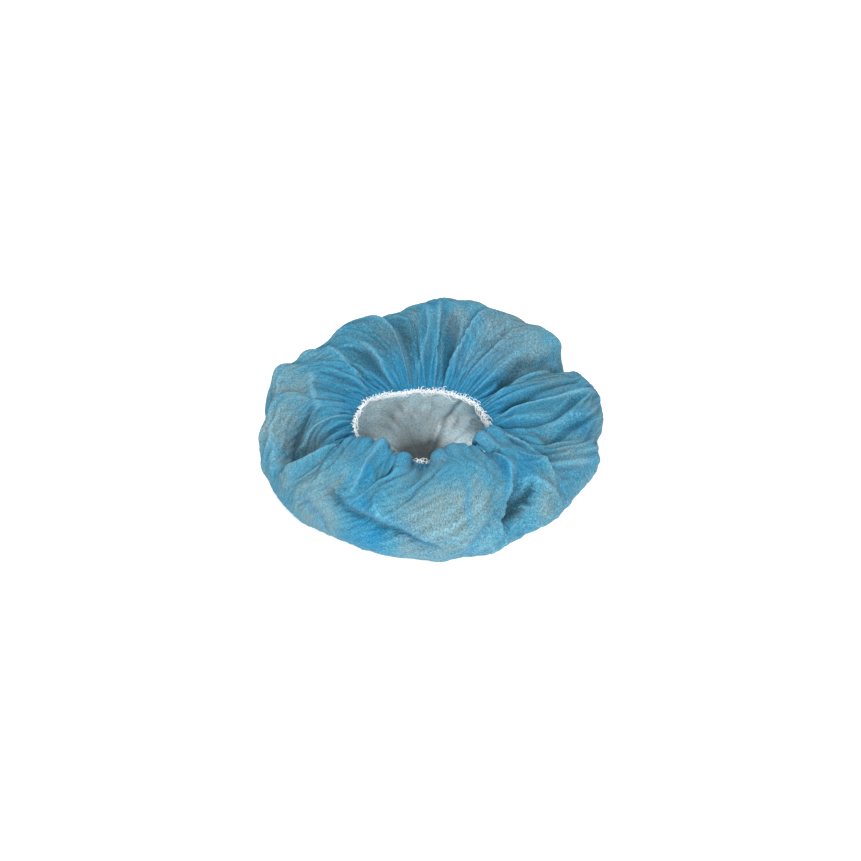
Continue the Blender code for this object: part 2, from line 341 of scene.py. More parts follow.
PATCHES = (
    # Where the cloth is thin or dense, and where it gets painted shade: hollows, valleys, the dimple,
    # and panels where nothing pale lies behind the cloth.
    Patch("back_panel_left", 93, 0.72, 0.018, 0.0, 0.45, 0.85),
    Patch("back_band", 81, 0.60, 0.013, 0.0, -1.1, 0.35),
    Patch("back_band_top", 80, 1.0, 0.010, 0.0, -0.9),
    Patch("back_panel_right", 71, 0.70, 0.014, 0.0, 1.3, 0.1),
    Patch("right_panel_pale", 60, 0.36, 0.012, 0.0, 1.05, -0.3),
    Patch("right_back_panel", 50, 0.78, 0.026, 0.0, 1.35, 0.2),
    Patch("right_back_low", 42, 0.55, 0.016, 0.0, 0.6, 0.3),
    Patch("back_lobe_grey_shaded", 110, 0.62, 0.016, 0.0, 0.2, 1.0),
    Patch("back_lobe_top", 112, 1.05, 0.020, 0.0, -0.3, 0.4),
    Patch("left_lobe_blue", 132, 0.9, 0.016, 0.0, -0.2, -0.15),
    Patch("left_lobe_grey", 150, 0.85, 0.014, 0.0, 0.5, 0.3),
    Patch("left_corner", 140, 1.45, 0.020, 0.0, 0.5),
    Patch("left_hollow", 171, 1.12, 0.018, -0.0085, 0.8, 0.8),
    Patch("left_hollow_low", 184, 1.33, 0.013, -0.0040, 0.5, 0.9),
    Patch("left_wall", 163, 1.5, 0.026, 0.0, 0.8),
    Patch("left_roll", 210, 0.95, 0.016, 0.0040, -0.1),
    Patch("left_front", 226, 1.55, 0.028, 0.0, 0.5),
    Patch("left_front_hollow", 233, 1.36, 0.012, -0.0045, 0.3, 0.4),
    Patch("left_front_low", 240, 1.9, 0.026, 0.0, 0.7),
    Patch("diagonal_blue", 247, 1.36, 0.013, 0.0, -1.0, 0.2),
    Patch("diagonal_blue_low", 258, 1.56, 0.011, 0.0, -0.9, 0.1),
    Patch("roll_front_blue", 244, 0.95, 0.014, 0.0, -0.7),
    Patch("front_low_blue", 271, 1.84, 0.015, 0.0, -1.25, 0.2),
    Patch("front_low_left_blue", 258, 2.0, 0.014, 0.0, -0.9),
    Patch("front_puff_pale", 286, 1.45, 0.028, 0.0, 0.9, 0.15),
    Patch("puff_right_grey", 302, 1.52, 0.012, 0.0, 0.8, 0.1),
    Patch("front_puff_low", 282, 1.85, 0.026, 0.0, 1.0),
    Patch("puff_edge_blue", 315, 1.15, 0.014, 0.0, -0.8),
    Patch("front_right_blue", 325, 1.20, 0.016, 0.0, -0.7, 0.3),
    Patch("dimple", 312, 1.75, 0.0065, 0.0, 0.0, 2.4),
    Patch("dimple_high", 315, 1.67, 0.0055, 0.0, 0.0, 1.6),
    Patch("right_valley_grey_shaded", 343, 1.24, 0.014, 0.0, 0.4, 0.95),
    Patch("right_wall_blue", 356, 1.59, 0.020, 0.0, -0.6, 0.3),
    Patch("right_lobe_grey", 344, 1.60, 0.014, 0.0, 0.5, 0.2),
    Patch("right_lobe_blue", 2, 0.4, 0.012, 0.0, -0.5, -0.6),
    Patch("left_gather_pale", 170, 0.29, 0.012, 0.0, 0.3, -0.3),
    Patch("back_gather_blue", 87, 0.18, 0.012, 0.0, -0.4),
    Patch("right_lobe_middle", 0, 0.88, 0.014, 0.0, 0.1, 0.5),
    Patch("right_corner_grey_shaded", 22, 0.95, 0.018, 0.0, 0.45, 0.75),
    Patch("right_low_pale", 323, 1.77, 0.022, 0.0, 0.5, 0.4),
    # The rolls that hang over the front of the mouth.
    Patch("roll_over_mouth", 216, 0.45, 0.012, 0.0072),
    Patch("roll_end", 234, 0.44, 0.012, 0.0088),
    Patch("small_puff", 256, 0.42, 0.013, 0.0115),
    Patch("puff_over_mouth_left", 284, 0.50, 0.009, 0.0050),
    Patch("puff_over_mouth", 297, 0.50, 0.013, 0.0075),
    Patch("right_over_mouth", 316, 0.42, 0.010, 0.0070),
    Patch("right_gap_over_mouth", 325, 0.38, 0.010, 0.0080),
    Patch("right_end_over_mouth", 334, 0.34, 0.012, 0.0095),
    # Where the outline goes out or in.
    Patch("back_left_in", 118, 1.42, 0.024, -0.0062),
    Patch("left_shoulder_out", 124, 1.40, 0.010, 0.0085),
    Patch("left_corner_out", 138, 1.44, 0.010, 0.0050),
    Patch("left_in", 146, 1.80, 0.011, -0.0060),
    Patch("left_low_in", 222, 2.0, 0.026, -0.0030),
    Patch("right_low_out", 320, 2.1, 0.022, 0.0045),
    Patch("left_side_out", 160, 1.80, 0.010, 0.0045),
    Patch("front_out", 290, 2.30, 0.014, 0.0022),
    Patch("right_side_out", 346, 1.95, 0.018, 0.0045),
    Patch("back_top_out", 76, 1.25, 0.018, 0.0030),
    # The crown, as seen through the mouth: painted shadow in its middle, at its left and in a small
    # spot, and painted light at its right, on its inner face.
    Patch("crown_middle", 84, 3.86, 0.032, 0.0, 0.0, 1.25),
    Patch("crown_left", 106, 3.45, 0.026, 0.0, 0.0, 0.25),
    Patch("crown_shaded_spot", 45, 3.3, 0.006, 0.0, 0.0, 0.7),
    Patch("crown_bright", 58, 3.38, 0.028, 0.0, 0.0, -0.9),
    # The corners of the notch at the back right.
    Patch("notch_in", 36, 1.42, 0.007, -0.0030),
    Patch("notch_lobe_out", 28, 1.40, 0.009, 0.0022),
    Patch("notch_corner", 43, 1.50, 0.009, 0.0050),
    Patch("right_corner_out", 19, 1.5, 0.010, 0.0025),
)


def turned_apart(first: np.ndarray, second: np.ndarray) -> np.ndarray:
    """The angle from second to first, between -180 and 180 degrees."""
    return (first - second + 180) % 360 - 180


@dataclass
class BagForm:
    """The bag's main form, the same cage of points that the solid has.

    The cage's columns run from the mouth to the crown and its rows go round. surface() is the
    cubic B-spline surface of that cage, which is what subdividing the cage tends to.

    mouth_shift: how far the mouth's middle lies from the bag's, towards -X.
    hem_height: how far the hem's lower edge hangs below the mouth.
    pleat_depth, pleat_reach: the pleats at the mouth, in metres, and the way where they end.
    floor_share: the width of the crown on the floor, as a share of the widest part.
    side_share: the height of the widest part, as a share of the crest's.
    neck_round_share: the power of the superellipse from the mouth to the crest.
    columns, neck_rows, shoulder_rows, heel_rows, floor_rows: the cage's grid.
    """

    width: float = 0.272
    depth: float = 0.272
    height: float = 0.086
    mouth_width: float = 0.110
    mouth_depth: float = 0.094
    mouth_height: float = 0.042
    mouth_shift: float = 0.0062
    hem_height: float = 0.0022
    pleat_depth: float = 0.003
    pleat_reach: float = 0.75
    floor_share: float = 0.74
    side_share: float = 0.42
    neck_round_share: float = 1.45
    columns: int = 60
    neck_rows: int = 4
    shoulder_rows: int = 3
    heel_rows: int = 2
    floor_rows: int = 2

    def around(self, column: str, azimuth: np.ndarray) -> np.ndarray:
        """A column of SECTORS at these azimuths, on a smooth closed curve through its rows.

        Between two rows it is a cubic that meets each row's value and slope, where the slope
        at a row is taken from the rows before and after it.

        Args:
            column: the field of Sector to read.
            azimuth: azimuths in degrees, in any shape.

        Returns:
            The values, in the shape of azimuth.
        """
        at = np.array([sector.azimuth for sector in SECTORS], float)
        value = np.array([getattr(sector, column) for sector in SECTORS], float)
        before = (np.searchsorted(at, azimuth % 360, side="right") - 1) % len(at)
        after = (before + 1) % len(at)
        gap = (at[after] - at[before]) % 360
        share = ((azimuth - at[before]) % 360) / gap
        slope = (np.roll(value, -1) - np.roll(value, 1)) / ((np.roll(at, -1) - np.roll(at, 1)) % 360)
        eased = share**2 * (3 - 2 * share)
        leaving = gap * slope[before] * share * (1 - share) ** 2
        arriving = gap * slope[after] * share**2 * (1 - share)
        return value[before] * (1 - eased) + value[after] * eased + leaving - arriving

    def oval(self, azimuth: np.ndarray, width: float, depth: float) -> np.ndarray:
        """The radius of an oval of this width and depth at these azimuths."""
        turn = np.radians(azimuth)
        return 1 / np.hypot(2 * np.cos(turn) / width, 2 * np.sin(turn) / depth)

    def mouth_radius(self, azimuth: np.ndarray) -> np.ndarray:
        """The radius of the mouth's edge at these azimuths."""
        return self.oval(azimuth, self.mouth_width, self.mouth_depth) * self.around("mouth", azimuth)

    def swung_azimuth(self, column: np.ndarray, way: np.ndarray) -> np.ndarray:
        """The azimuth of each column at each way, so that the columns run along the creases.

        Args:
            column: azimuths at the mouth, in degrees.
            way: ways.

        Returns:
            A grid with a row for each way.
        """
        lines = np.array([[crease.mouth, crease.crest, crease.side] for crease in CREASES], float)
        swing = turned_apart(lines, lines[:, :1])
        rows = []
        for at in way:
            turned = [np.interp(at, (0, 1, 2), row) for row in swing]
            rows.append(column + np.interp(column, lines[:, 0], turned, period=360))
        return np.stack(rows)

    def smooth_bag(self, azimuth: np.ndarray, way: np.ndarray) -> tuple[np.ndarray, np.ndarray]:
        """The bag before it is creased.

        From mouth to crest the section is a quarter of a superellipse, from crest to side and
        from side to floor it is a quarter of an ellipse, and the crown lies flat.

        Args:
            azimuth: azimuths in degrees.
            way: ways, in the same shape.

        Returns:
            The radius from the axis and the height, in the same shape.
        """
        side_radius = self.oval(azimuth, self.width, self.depth) * self.around("reach", azimuth)
        crest_height = self.height * self.around("rise", azimuth)
        edge_radius = self.mouth_radius(azimuth)
        floor_radius = side_radius * self.floor_share
        side_height = crest_height * self.side_share
        crest_radius = edge_radius + (side_radius - edge_radius) * self.around("crest", azimuth)

        neck = np.clip(1 - way, 0, 1) * math.pi / 2
        inward = np.sin(neck) ** (2 / self.neck_round_share)
        upward = np.cos(neck) ** (2 / self.neck_round_share)
        shoulder = np.clip(way - 1, 0, 1) * math.pi / 2
        heel = np.clip(way - 2, 0, 1) * math.pi / 2
        stretches = (way <= 1, way <= 2, way <= 3)
        radius = (
            crest_radius - (crest_radius - edge_radius) * inward,
            crest_radius + (side_radius - crest_radius) * np.sin(shoulder),
            floor_radius + (side_radius - floor_radius) * np.cos(heel),
        )
        height = (
            self.mouth_height + (crest_height - self.mouth_height) * upward,
            side_height + (crest_height - side_height) * np.cos(shoulder),
            side_height * (1 - np.sin(heel)),
        )
        return np.select(stretches, radius, floor_radius * (4 - way)), np.select(stretches, height, 0.0)

    def crease_depth(self, azimuth: np.ndarray, way: np.ndarray) -> np.ndarray:
        """How far the creases and tucks draw the cloth in.

        Across a crease the depth falls as the exponential of minus the distance to the power
        1.3, and across a tuck to the power 1.5, each distance in half widths.

        Args:
            azimuth: azimuths in degrees.
            way: ways, in the same shape.

        Returns:
            Depths in metres, in the same shape.
        """
        creases = np.zeros_like(azimuth)
        for crease in CREASES:
            line = np.interp(way, (0, 1, 2), (crease.mouth, crease.crest, crease.side))
            depths = (0, crease.neck_depth, crease.crest_depth, crease.side_depth, 0)
            depth = np.interp(way, (0.0, 0.3, 1.0, 2.0, 2.8), depths)
            off = np.abs(turned_apart(azimuth, line)) / (crease.width * (1 + 0.15 * way))
            creases = np.maximum(creases, depth * np.exp(-(off**1.3)))

        degrees_per_way = 45
        tucks = np.zeros_like(azimuth)
        for tuck in TUCKS:
            across = turned_apart(azimuth, tuck.azimuth_from)
            down = (way - tuck.way_from) * degrees_per_way
            run_across = turned_apart(tuck.azimuth_to, tuck.azimuth_from)
            run_down = (tuck.way_to - tuck.way_from) * degrees_per_way
            share = (across * run_across + down * run_down) / (run_across**2 + run_down**2)
            share = np.clip(share, 0, 1)
            off = np.hypot(across - share * run_across, down - share * run_down) / tuck.width
            tucks = np.maximum(tucks, tuck.depth * np.exp(-(off**1.5)))
        return (creases + tucks) * self.height

    def cage_ways(self) -> np.ndarray:
        """The way of each row of the cage, without the hem and the middle of the crown."""
        return np.concatenate(
            [
                np.arange(self.neck_rows) / self.neck_rows,
                1 + np.arange(self.shoulder_rows) / self.shoulder_rows,
                2 + np.arange(self.heel_rows) / self.heel_rows,
                3 + np.arange(self.floor_rows) / self.floor_rows,
            ]
        )

    def cage(self) -> np.ndarray:
        """The cage's points.

        The bag and its pleats are drawn in along the section's own normal, the mouth is moved
        off the axis, and the whole is centred on it.

        Returns:
            A grid, a row for the hem's lower edge and then one for each way.
        """
        column = np.arange(self.columns) * 360 / self.columns
        way = self.cage_ways()
        azimuth = self.swung_azimuth(column, way)
        way = np.broadcast_to(way[:, None], azimuth.shape)
        radius, height = self.smooth_bag(azimuth, way)
        step = 0.001
        radius_next, height_next = self.smooth_bag(azimuth, np.clip(way + step, 0, 4))
        radius_last, height_last = self.smooth_bag(azimuth, np.clip(way - step, 0, 4))
        run, climb = radius_next - radius_last, height_next - height_last
        length = np.hypot(run, climb)
        swell = np.sin(np.clip(way / self.pleat_reach, 0, 1) * math.pi)
        pleats = self.pleat_depth * swell * np.cos(np.radians(column) * self.columns / 2)
        inward = self.crease_depth(azimuth, way) + pleats
        radius = radius + climb / length * inward
        height = np.maximum(height - run / length * inward, 0)

        turn = np.radians(azimuth)
        drift = -self.mouth_shift * np.clip(1 - way, 0, 1)
        points = np.stack([radius * np.cos(turn) + drift, radius * np.sin(turn), height], axis=-1)
        hem = points[:1] - np.array([0.0, 0.0, self.hem_height])
        points = np.concatenate([hem, points])
        flat = points.reshape(-1, 3)[:, :2]
        middle = np.append((flat.min(axis=0) + flat.max(axis=0)) / 2, 0.0)
        return points - middle

    def row_of_way(self, way: np.ndarray) -> np.ndarray:
        """The place of a way among the cage's rows, where row 0 is the hem's lower edge."""
        ways = np.append(self.cage_ways(), 4.0)
        return np.interp(way, ways, 1 + np.arange(len(ways)))

    def way_of_row(self, row: np.ndarray) -> np.ndarray:
        """The way at a place among the cage's rows, 0 all over the hem."""
        ways = np.append(self.cage_ways(), 4.0)
        return np.interp(row, 1 + np.arange(len(ways)), ways)

    @staticmethod
    def spline_weights(at: np.ndarray, count: int, cyclic: bool) -> np.ndarray:
        """The weight of each control point in a uniform cubic B-spline at these places.

        Args:
            at: places, where whole numbers are control points.
            count: how many control points there are, counting one extra at each open end.
            cyclic: whether the last control point leads back to the first.

        Returns:
            A matrix with a row for each place and a column for each control point.
        """
        first = np.floor(at).astype(int) if cyclic else np.clip(np.floor(at).astype(int), 0, count - 4)
        t = at - first
        four = ((1 - t) ** 3, 3 * t**3 - 6 * t**2 + 4, -3 * t**3 + 3 * t**2 + 3 * t + 1, t**3)
        weights = np.zeros((len(at), count))
        for step, weight in enumerate(four):
            index = (first + step - 1) % count if cyclic else first + step
            weights[np.arange(len(at)), index] += weight / 6
        return weights

    def surface(self, column: np.ndarray, row: np.ndarray, single: bool = False) -> np.ndarray:
        """The bag's smooth surface over the cage.

        Args:
            column: places round the mouth, in degrees.
            row: places among the cage's rows, from 0 at the hem's edge to the last, the crown.
            single: whether column and row pair off, instead of making a grid.

        Returns:
            Points in metres, a row for each row and a column for each column, or one for each
            pair.
        """
        cage = self.cage()
        middle = np.broadcast_to(cage[-1].mean(axis=0), cage[:1].shape)
        across = np.roll(cage[-1:], self.columns // 2, axis=1)
        cage = np.concatenate([2 * cage[:1] - cage[1:2], cage, middle, across])
        down = self.spline_weights(row, len(cage), cyclic=False)
        around = self.spline_weights(column * self.columns / 360, self.columns, cyclic=True)
        if single:
            return np.einsum("pi,ijk,pj->pk", down, cage, around, optimize=True)
        return np.einsum("ri,ijk,cj->rck", down, cage, around, optimize=True)


def grid_normals(points: np.ndarray, evened: int = 0) -> np.ndarray:
    """The unit normals of a grid whose columns go all the way round, pointing out of the bag.

    Args:
        points: the grid.
        evened: how often each normal is averaged with its four neighbours.

    Returns:
        A grid of unit vectors.
    """
    down = np.gradient(points, axis=0)
    along = np.roll(points, -1, axis=1) - np.roll(points, 1, axis=1)
    normal = np.cross(down, along)
    normal /= np.maximum(np.linalg.norm(normal, axis=-1, keepdims=True), 1e-12)
    for _ in range(evened):
        rows = np.concatenate([normal[:1], normal, normal[-1:]])
        normal = rows[:-2] + rows[2:] + np.roll(normal, 1, axis=1) + np.roll(normal, -1, axis=1)
        normal /= np.maximum(np.linalg.norm(normal, axis=-1, keepdims=True), 1e-12)
    return normal


def smooth_mesh(name: str, places: np.ndarray, *faces: np.ndarray) -> bpy.types.Mesh:
    """A mesh with smooth shading.

    Args:
        name: its name.
        places: its points.
        faces: its faces, each a row of corners, in one array for each number of corners.

    Returns:
        The mesh.
    """
    corners = np.concatenate([rows.ravel() for rows in faces])
    sizes = np.concatenate([np.full(len(rows), rows.shape[1]) for rows in faces])
    mesh = bpy.data.meshes.new(name)
    mesh.vertices.add(len(places))
    mesh.vertices.foreach_set("co", places.astype(np.float32).ravel())
    mesh.loops.add(len(corners))
    mesh.loops.foreach_set("vertex_index", corners.astype(np.int32))
    mesh.polygons.add(len(sizes))
    mesh.polygons.foreach_set("loop_start", (np.cumsum(sizes) - sizes).astype(np.int32))
    mesh.update(calc_edges=True)
    mesh.validate()
    mesh.shade_smooth()
    return mesh


def put(data: bpy.types.ID) -> bpy.types.Object:
    """Puts a mesh, a lamp or a camera in the scene.

    Args:
        data: the mesh, lamp or camera.

    Returns:
        Its object, which has its name.
    """
    thing = bpy.data.objects.new(data.name, data)
    bpy.context.scene.collection.objects.link(thing)
    return thing


def between(grid: np.ndarray, reach: int = 1) -> np.ndarray:
    """The middle of the two points this many columns to either side of each point."""
    return 0.5 * (np.roll(grid, reach, axis=1) + np.roll(grid, -reach, axis=1))


@dataclass
class ClothMarks:
    """What the cloth's colour follows, as one grid of numbers for each mark. The mark of gathering
    is partly painted shade, the rim and ridge marks give painted highlights and painted shade, and
    the marks of hollows and of shade are painted shade.
    """

    gather_and_shade: np.ndarray
    tone: np.ndarray
    rim: np.ndarray
    ridge: np.ndarray
    hollow_shade: np.ndarray
    shade: np.ndarray


@dataclass
class GatheredCap:
    """The cap's cloth: the bag's form with the cloth that the elastic gathers into folds.

    The cut disc is far longer round its edge than the mouth is, so each row of the grid gets
    more cloth than the form has room for, and the cloth is settled until it has buckled into
    folds that take it up.

    wall: the cloth's thickness.
    fold_blunt: how far from its line a fold is rounded.
    shelf_edge, shelf_reach: how quickly a fold's step rises, and how far it is felt.
    under_reach, under_shade: how far the shade under a step goes, and how dark it is.
    stiffness, askew_stiffness: how much of a thread's error a settling step takes up.
    form_waves, form_hold: how many waves round the mouth count as the form, and how much of
        what moved them a settling step takes back.
    calm_column, calm_reach, calm_share: where the front lies smoother, how far to each side
        in degrees, and by how much.
    untangle_steps, untangle_evened: how often turned-over cloth is laid flat, and how far the
        normals are evened that it is compared with.
    """

    form: BagForm
    columns: int = 468
    wall: float = 0.0004
    seed: int = 21
    fold_blunt: float = 0.0010
    shelf_edge: float = 0.0013
    shelf_reach: float = 0.016
    under_reach: float = 0.006
    under_shade: float = 0.55
    settle_steps: int = 160
    stiffness: float = 0.8
    askew_stiffness: float = 0.12
    form_waves: int = 24
    form_hold: float = 0.35
    calm_column: float = 262.0
    calm_reach: float = 42.0
    calm_share: float = 0.65
    untangle_steps: int = 40
    untangle_evened: int = 12

    def row_places(self) -> np.ndarray:
        """The grid's rows as places among the cage's rows, closest together at the mouth."""
        between = (3, 14, 13, 12, 11, 9, 9, 8, 8, 6, 5, 4)
        stops = np.cumsum((0, *between))
        return np.interp(np.arange(stops[-1] + 1), stops, np.arange(len(stops)))

    def gather_ratio(self, way: np.ndarray) -> np.ndarray:
        """How many times longer the cloth of a row is than the form's own way round."""
        ways = (0, 0.2, 0.45, 0.7, 1.0, 1.4, 1.8, 2.4, 3.2, 4)
        return np.interp(way, ways, (1.92, 1.78, 1.47, 1.30, 1.18, 1.11, 1.08, 1.10, 1.05, 1.0))

    def ripple(self, column: np.ndarray, way: np.ndarray) -> np.ndarray:
        """The folds that the cloth starts with.

        It is a sum of waves round the mouth. Each has its own count, is strongest at its own
        way and has its phase bent by a slow wave, so that folds merge on their way out.

        Args:
            column: places round the mouth, in degrees.
            way: the way of each row.

        Returns:
            A grid of heights along the normal, in metres.
        """
        rng = np.random.default_rng(self.seed)
        waves = (
            (118, 0.05, 0.09, 0.0008),
            (79, 0.18, 0.14, 0.0010),
            (45, 0.42, 0.24, 0.0012),
        )
        turn = np.radians(column)[None, :]
        total = np.zeros((len(way), len(column)))
        for count, peak, spread, height in waves:
            bend = np.zeros_like(total)
            for slow in (2, 3, 5, 8, 13):
                lean = rng.normal() * way[:, None]
                wave = np.sin(slow * turn + rng.uniform(0, 2 * math.pi) + lean)
                bend += rng.normal() * 2.2 * wave / math.sqrt(slow)
            envelope = np.exp(-(((way - peak) / spread) ** 2))[:, None]
            patchy = 1 + 0.8 * np.sin(rng.integers(3, 9) * turn + rng.uniform(0, 2 * math.pi))
            total += height * envelope * patchy * np.sin(count * turn + bend)
        return total

    def crumple(self, points: np.ndarray, way: np.ndarray) -> np.ndarray:
        """Small creases all over the cloth.

        It is a sum of folded waves, one minus twice the size of a sine, each along its own
        direction in space and bent by the wave before it.

        Args:
            points: the grid.
            way: the way of each row.

        Returns:
            A grid of heights along the normal, in metres.
        """
        rng = np.random.default_rng(self.seed + 1)
        total = np.zeros(points.shape[:2])
        bend = np.zeros_like(total)
        for length, height, count in ((0.060, 0.0014, 5), (0.034, 0.0006, 5)):
            for _ in range(count):
                direction = rng.normal(size=3)
                direction /= np.linalg.norm(direction)
                phase = points @ direction * math.pi / length + rng.uniform(0, math.pi)
                phase += 1.1 * bend
                folded = 1 - 2 * np.abs(np.sin(phase))
                total += height * folded / math.sqrt(count)
                bend = 0.5 * bend + 0.5 * np.sin(2 * phase)
        ways = (0, 0.35, 0.9, 1.6, 2.4, 3.0, 4)
        strength = np.interp(way, ways, (0, 0.3, 0.9, 1.25, 1.0, 0.7, 0.6))
        return total * strength[:, None]

    def folded(self, base: np.ndarray, way: np.ndarray, marks: ClothMarks) -> np.ndarray:
        """The form with the named folds and patches, whose marks it adds.

        Across a fold the height falls as the exponential of minus the distance to the power
        1.25, the distance being in widths. Its step is a hyperbolic tangent that fades out on
        both sides. Both taper over a quarter of the line at its outer end and at the mouth. A
        patch stands out as the exponential of minus the square of the distance, in radii.

        Args:
            base: the form.
            way: the way of each row.
            marks: the marks to add to.

        Returns:
            The folded form.
        """
        normal = grid_normals(base, evened=40)
        points = base.copy()
        flat = base.reshape(-1, 3)
        at_mouth = np.interp(way, (0, 0.45), (0, 1))[:, None]
        for fold in FOLDS:
            line, tangent, share = self.fold_line(fold)
            squares = (flat**2).sum(axis=1)[:, None] - 2 * flat @ line.T + (line**2).sum(axis=1)[None]
            nearest = np.argmin(squares, axis=1).reshape(base.shape[:2])
            apart = base - line[nearest]
            side = np.cross(normal, tangent[nearest])
            across = (apart * side).sum(axis=-1)
            past_end = np.maximum(np.abs((apart * tangent[nearest]).sum(axis=-1)) - 0.002, 0)
            outward = np.abs((apart * normal).sum(axis=-1))
            far = np.sqrt(across**2 + 2 * past_end**2 + outward**2 + self.fold_blunt**2)
            far -= self.fold_blunt
            taper = np.clip(share[nearest] * 4, 0, 1)
            taper = taper * taper * (3 - 2 * taper) * at_mouth
            slope = np.exp(-((far / fold.width) ** 1.25)) * taper
            shelf = 0.5 * np.tanh(across / self.shelf_edge) * np.exp(-far / self.shelf_reach) * taper
            points += (fold.height * slope + fold.step * shelf)[..., None] * normal
            # The fold's edge gets a painted highlight outside and painted shade inside.
            edge = np.exp(-((far / fold.edge) ** 2)) * taper
            marks.rim = np.maximum(marks.rim, fold.rim * edge)
            # The lower side of a step gets painted shade and a deeper blue, partly the doubled cloth
            # there.
            close = np.exp(-far / self.under_reach)
            under = close * (across * fold.step < 0) * taper
            under = under * min(abs(fold.step) / self.under_reach, 1)
            marks.gather_and_shade = np.maximum(marks.gather_and_shade, under)
            marks.shade = marks.shade + self.under_shade * under * close
            # A valley gets a deeper blue, partly the denser cloth there and partly painted shade.
            if fold.height < 0:
                marks.gather_and_shade = np.maximum(marks.gather_and_shade, 0.6 * slope)
        for patch in PATCHES:
            row = self.form.row_of_way(np.array([patch.way]))
            middle = self.form.surface(np.array([patch.column]), row)[0, 0]
            near = np.exp(-(((base - middle) ** 2).sum(axis=-1) / patch.size**2))
            points += (patch.swell * near)[..., None] * normal
            marks.tone = marks.tone + patch.tone * near
            # A patch's shade is painted shade.
            marks.shade = marks.shade + patch.shade * near
        return points

    def fold_line(self, fold: Fold) -> tuple[np.ndarray, np.ndarray, np.ndarray]:
        """A fold's line on the form, with its corners eased.

        Args:
            fold: the fold.

        Returns:
            Its points, about 1 mm apart, its direction at each, and how far along each lies,
            from 0 at the outer end to 1.
        """
        places = np.array(fold.places, float)
        column = np.unwrap(places[:, 0], period=360)
        row = self.form.row_of_way(places[:, 1])
        rough = self.form.surface(column, row, single=True)
        run = np.append(0, np.cumsum(np.linalg.norm(np.diff(rough, axis=0), axis=1)))
        steps = np.linspace(0, run[-1], max(int(run[-1] / 0.001), 8))
        column, row = np.interp(steps, run, column), np.interp(steps, run, row)
        kernel = np.hanning(11)[1:-1] / np.hanning(11)[1:-1].sum()
        column = np.convolve(np.pad(column, 4, mode="edge"), kernel, mode="valid")
        row = np.convolve(np.pad(row, 4, mode="edge"), kernel, mode="valid")
        line = self.form.surface(column, row, single=True)
        tangent = np.gradient(line, axis=0)
        tangent /= np.linalg.norm(tangent, axis=1, keepdims=True)
        return line, tangent, steps / run[-1]

    def settle(self, start: np.ndarray, base: np.ndarray, way: np.ndarray) -> np.ndarray:
        """Lets the cloth buckle until each thread has its own length.

        Each step moves neighbouring points to the distance that the cloth has between them,
        round, down and askew, eases the grid a little, as stiff cloth does, and takes back
        what moved the form as a whole.

        Args:
            start: the rippled grid.
            base: the form without ripples.
            way: the way of each row.

        Returns:
            The settled grid.
        """
        points = start.copy()
        count = points.shape[1]
        round_rest, down_rest = self.thread_lengths(base, way)
        askew_rest = np.hypot(down_rest, 0.5 * (round_rest[1:] + round_rest[:-1]))
        pinned = int(np.searchsorted(self.row_places(), 1.0))
        ways = (0, 0.15, 0.6, 1.5, 2.2, 3.2, 4)
        reach = np.interp(way, ways, (0.001, 0.004, 0.007, 0.005, 0.004, 0.003, 0.001))
        reach = reach[:, None, None]
        ease = np.interp(way, (0, 0.3, 1.0, 4), (0.03, 0.05, 0.06, 0.06))[:, None, None]
        for _ in range(self.settle_steps):
            for parity in (0, 1):
                here = np.arange(parity, count, 2)
                after = (here + 1) % count
                rest = round_rest[:, here]
                move = self.pull(points[:, here], points[:, after], rest, self.stiffness)
                points[:, here] += move
                points[:, after] -= move
            for parity in (0, 1):
                here = np.arange(parity, len(points) - 1, 2)
                move = self.pull(points[here], points[here + 1], down_rest[here], self.stiffness)
                points[here] += move
                points[here + 1] -= move
            for shift in (1, -1):
                beside = np.roll(points, shift, axis=1)
                move = self.pull(points[:-1], beside[1:], askew_rest, self.askew_stiffness)
                points[:-1] += move
                points[1:] -= np.roll(move, -shift, axis=1)
            moved = points - base
            moved += ease * (between(moved) - moved)
            waves = np.fft.rfft(moved, axis=1)
            waves[:, self.form_waves :] = 0
            moved -= self.form_hold * np.fft.irfft(waves, n=count, axis=1)
            far = np.linalg.norm(moved, axis=-1, keepdims=True)
            points = base + moved * np.minimum(1, reach / np.maximum(far, 1e-9))
            points[:pinned] = start[:pinned]
            points[-1] = base[-1]
            points[..., 2] = np.maximum(points[..., 2], 0.0)
        return self.untangled(self.eased(points, pinned), way, pinned)

    def thread_lengths(self, base: np.ndarray, way: np.ndarray) -> tuple[np.ndarray, np.ndarray]:
        """How much cloth lies between neighbouring points of the grid.

        Args:
            base: the form without ripples.
            way: the way of each row.

        Returns:
            The lengths to the next column and those to the next row.
        """
        along = np.linalg.norm(np.roll(base, -1, axis=1) - base, axis=-1)
        even = 0.8 * along + 0.2 * along.mean(axis=1, keepdims=True)
        roomiest = np.interp(way, (0, 0.4, 1.0, 4), (2.4, 1.9, 1.35, 1.2))[:, None]
        column = np.arange(self.columns) * 360 / self.columns
        front = np.exp(-((turned_apart(column, self.calm_column) / self.calm_reach) ** 4))
        calm = 1 - self.calm_share * front[None, :] * np.interp(way, (0.3, 0.6), (0, 1))[:, None]
        ratio = 1 + (self.gather_ratio(way)[:, None] - 1) * calm
        ways = (0, 0.7, 1.2, 2.2, 3.4)
        slack = np.interp(way[1:], ways, (1.01, 1.02, 1.04, 1.05, 1.05))[:, None]
        down = np.linalg.norm(base[1:] - base[:-1], axis=-1) * slack
        return np.minimum(even * ratio, along * roomiest), down

    @staticmethod
    def pull(first: np.ndarray, second: np.ndarray, rest: np.ndarray, stiffness: float) -> np.ndarray:
        """Half the move that brings two sets of points to their distance.

        Args:
            first: points.
            second: a neighbour of each.
            rest: how far apart each pair should lie.
            stiffness: how much of the difference is taken up.

        Returns:
            What is added to first and taken from second.
        """
        apart = second - first
        length = np.maximum(np.linalg.norm(apart, axis=-1), 1e-9)
        return (stiffness * 0.5 * (length - rest) / length)[..., None] * apart

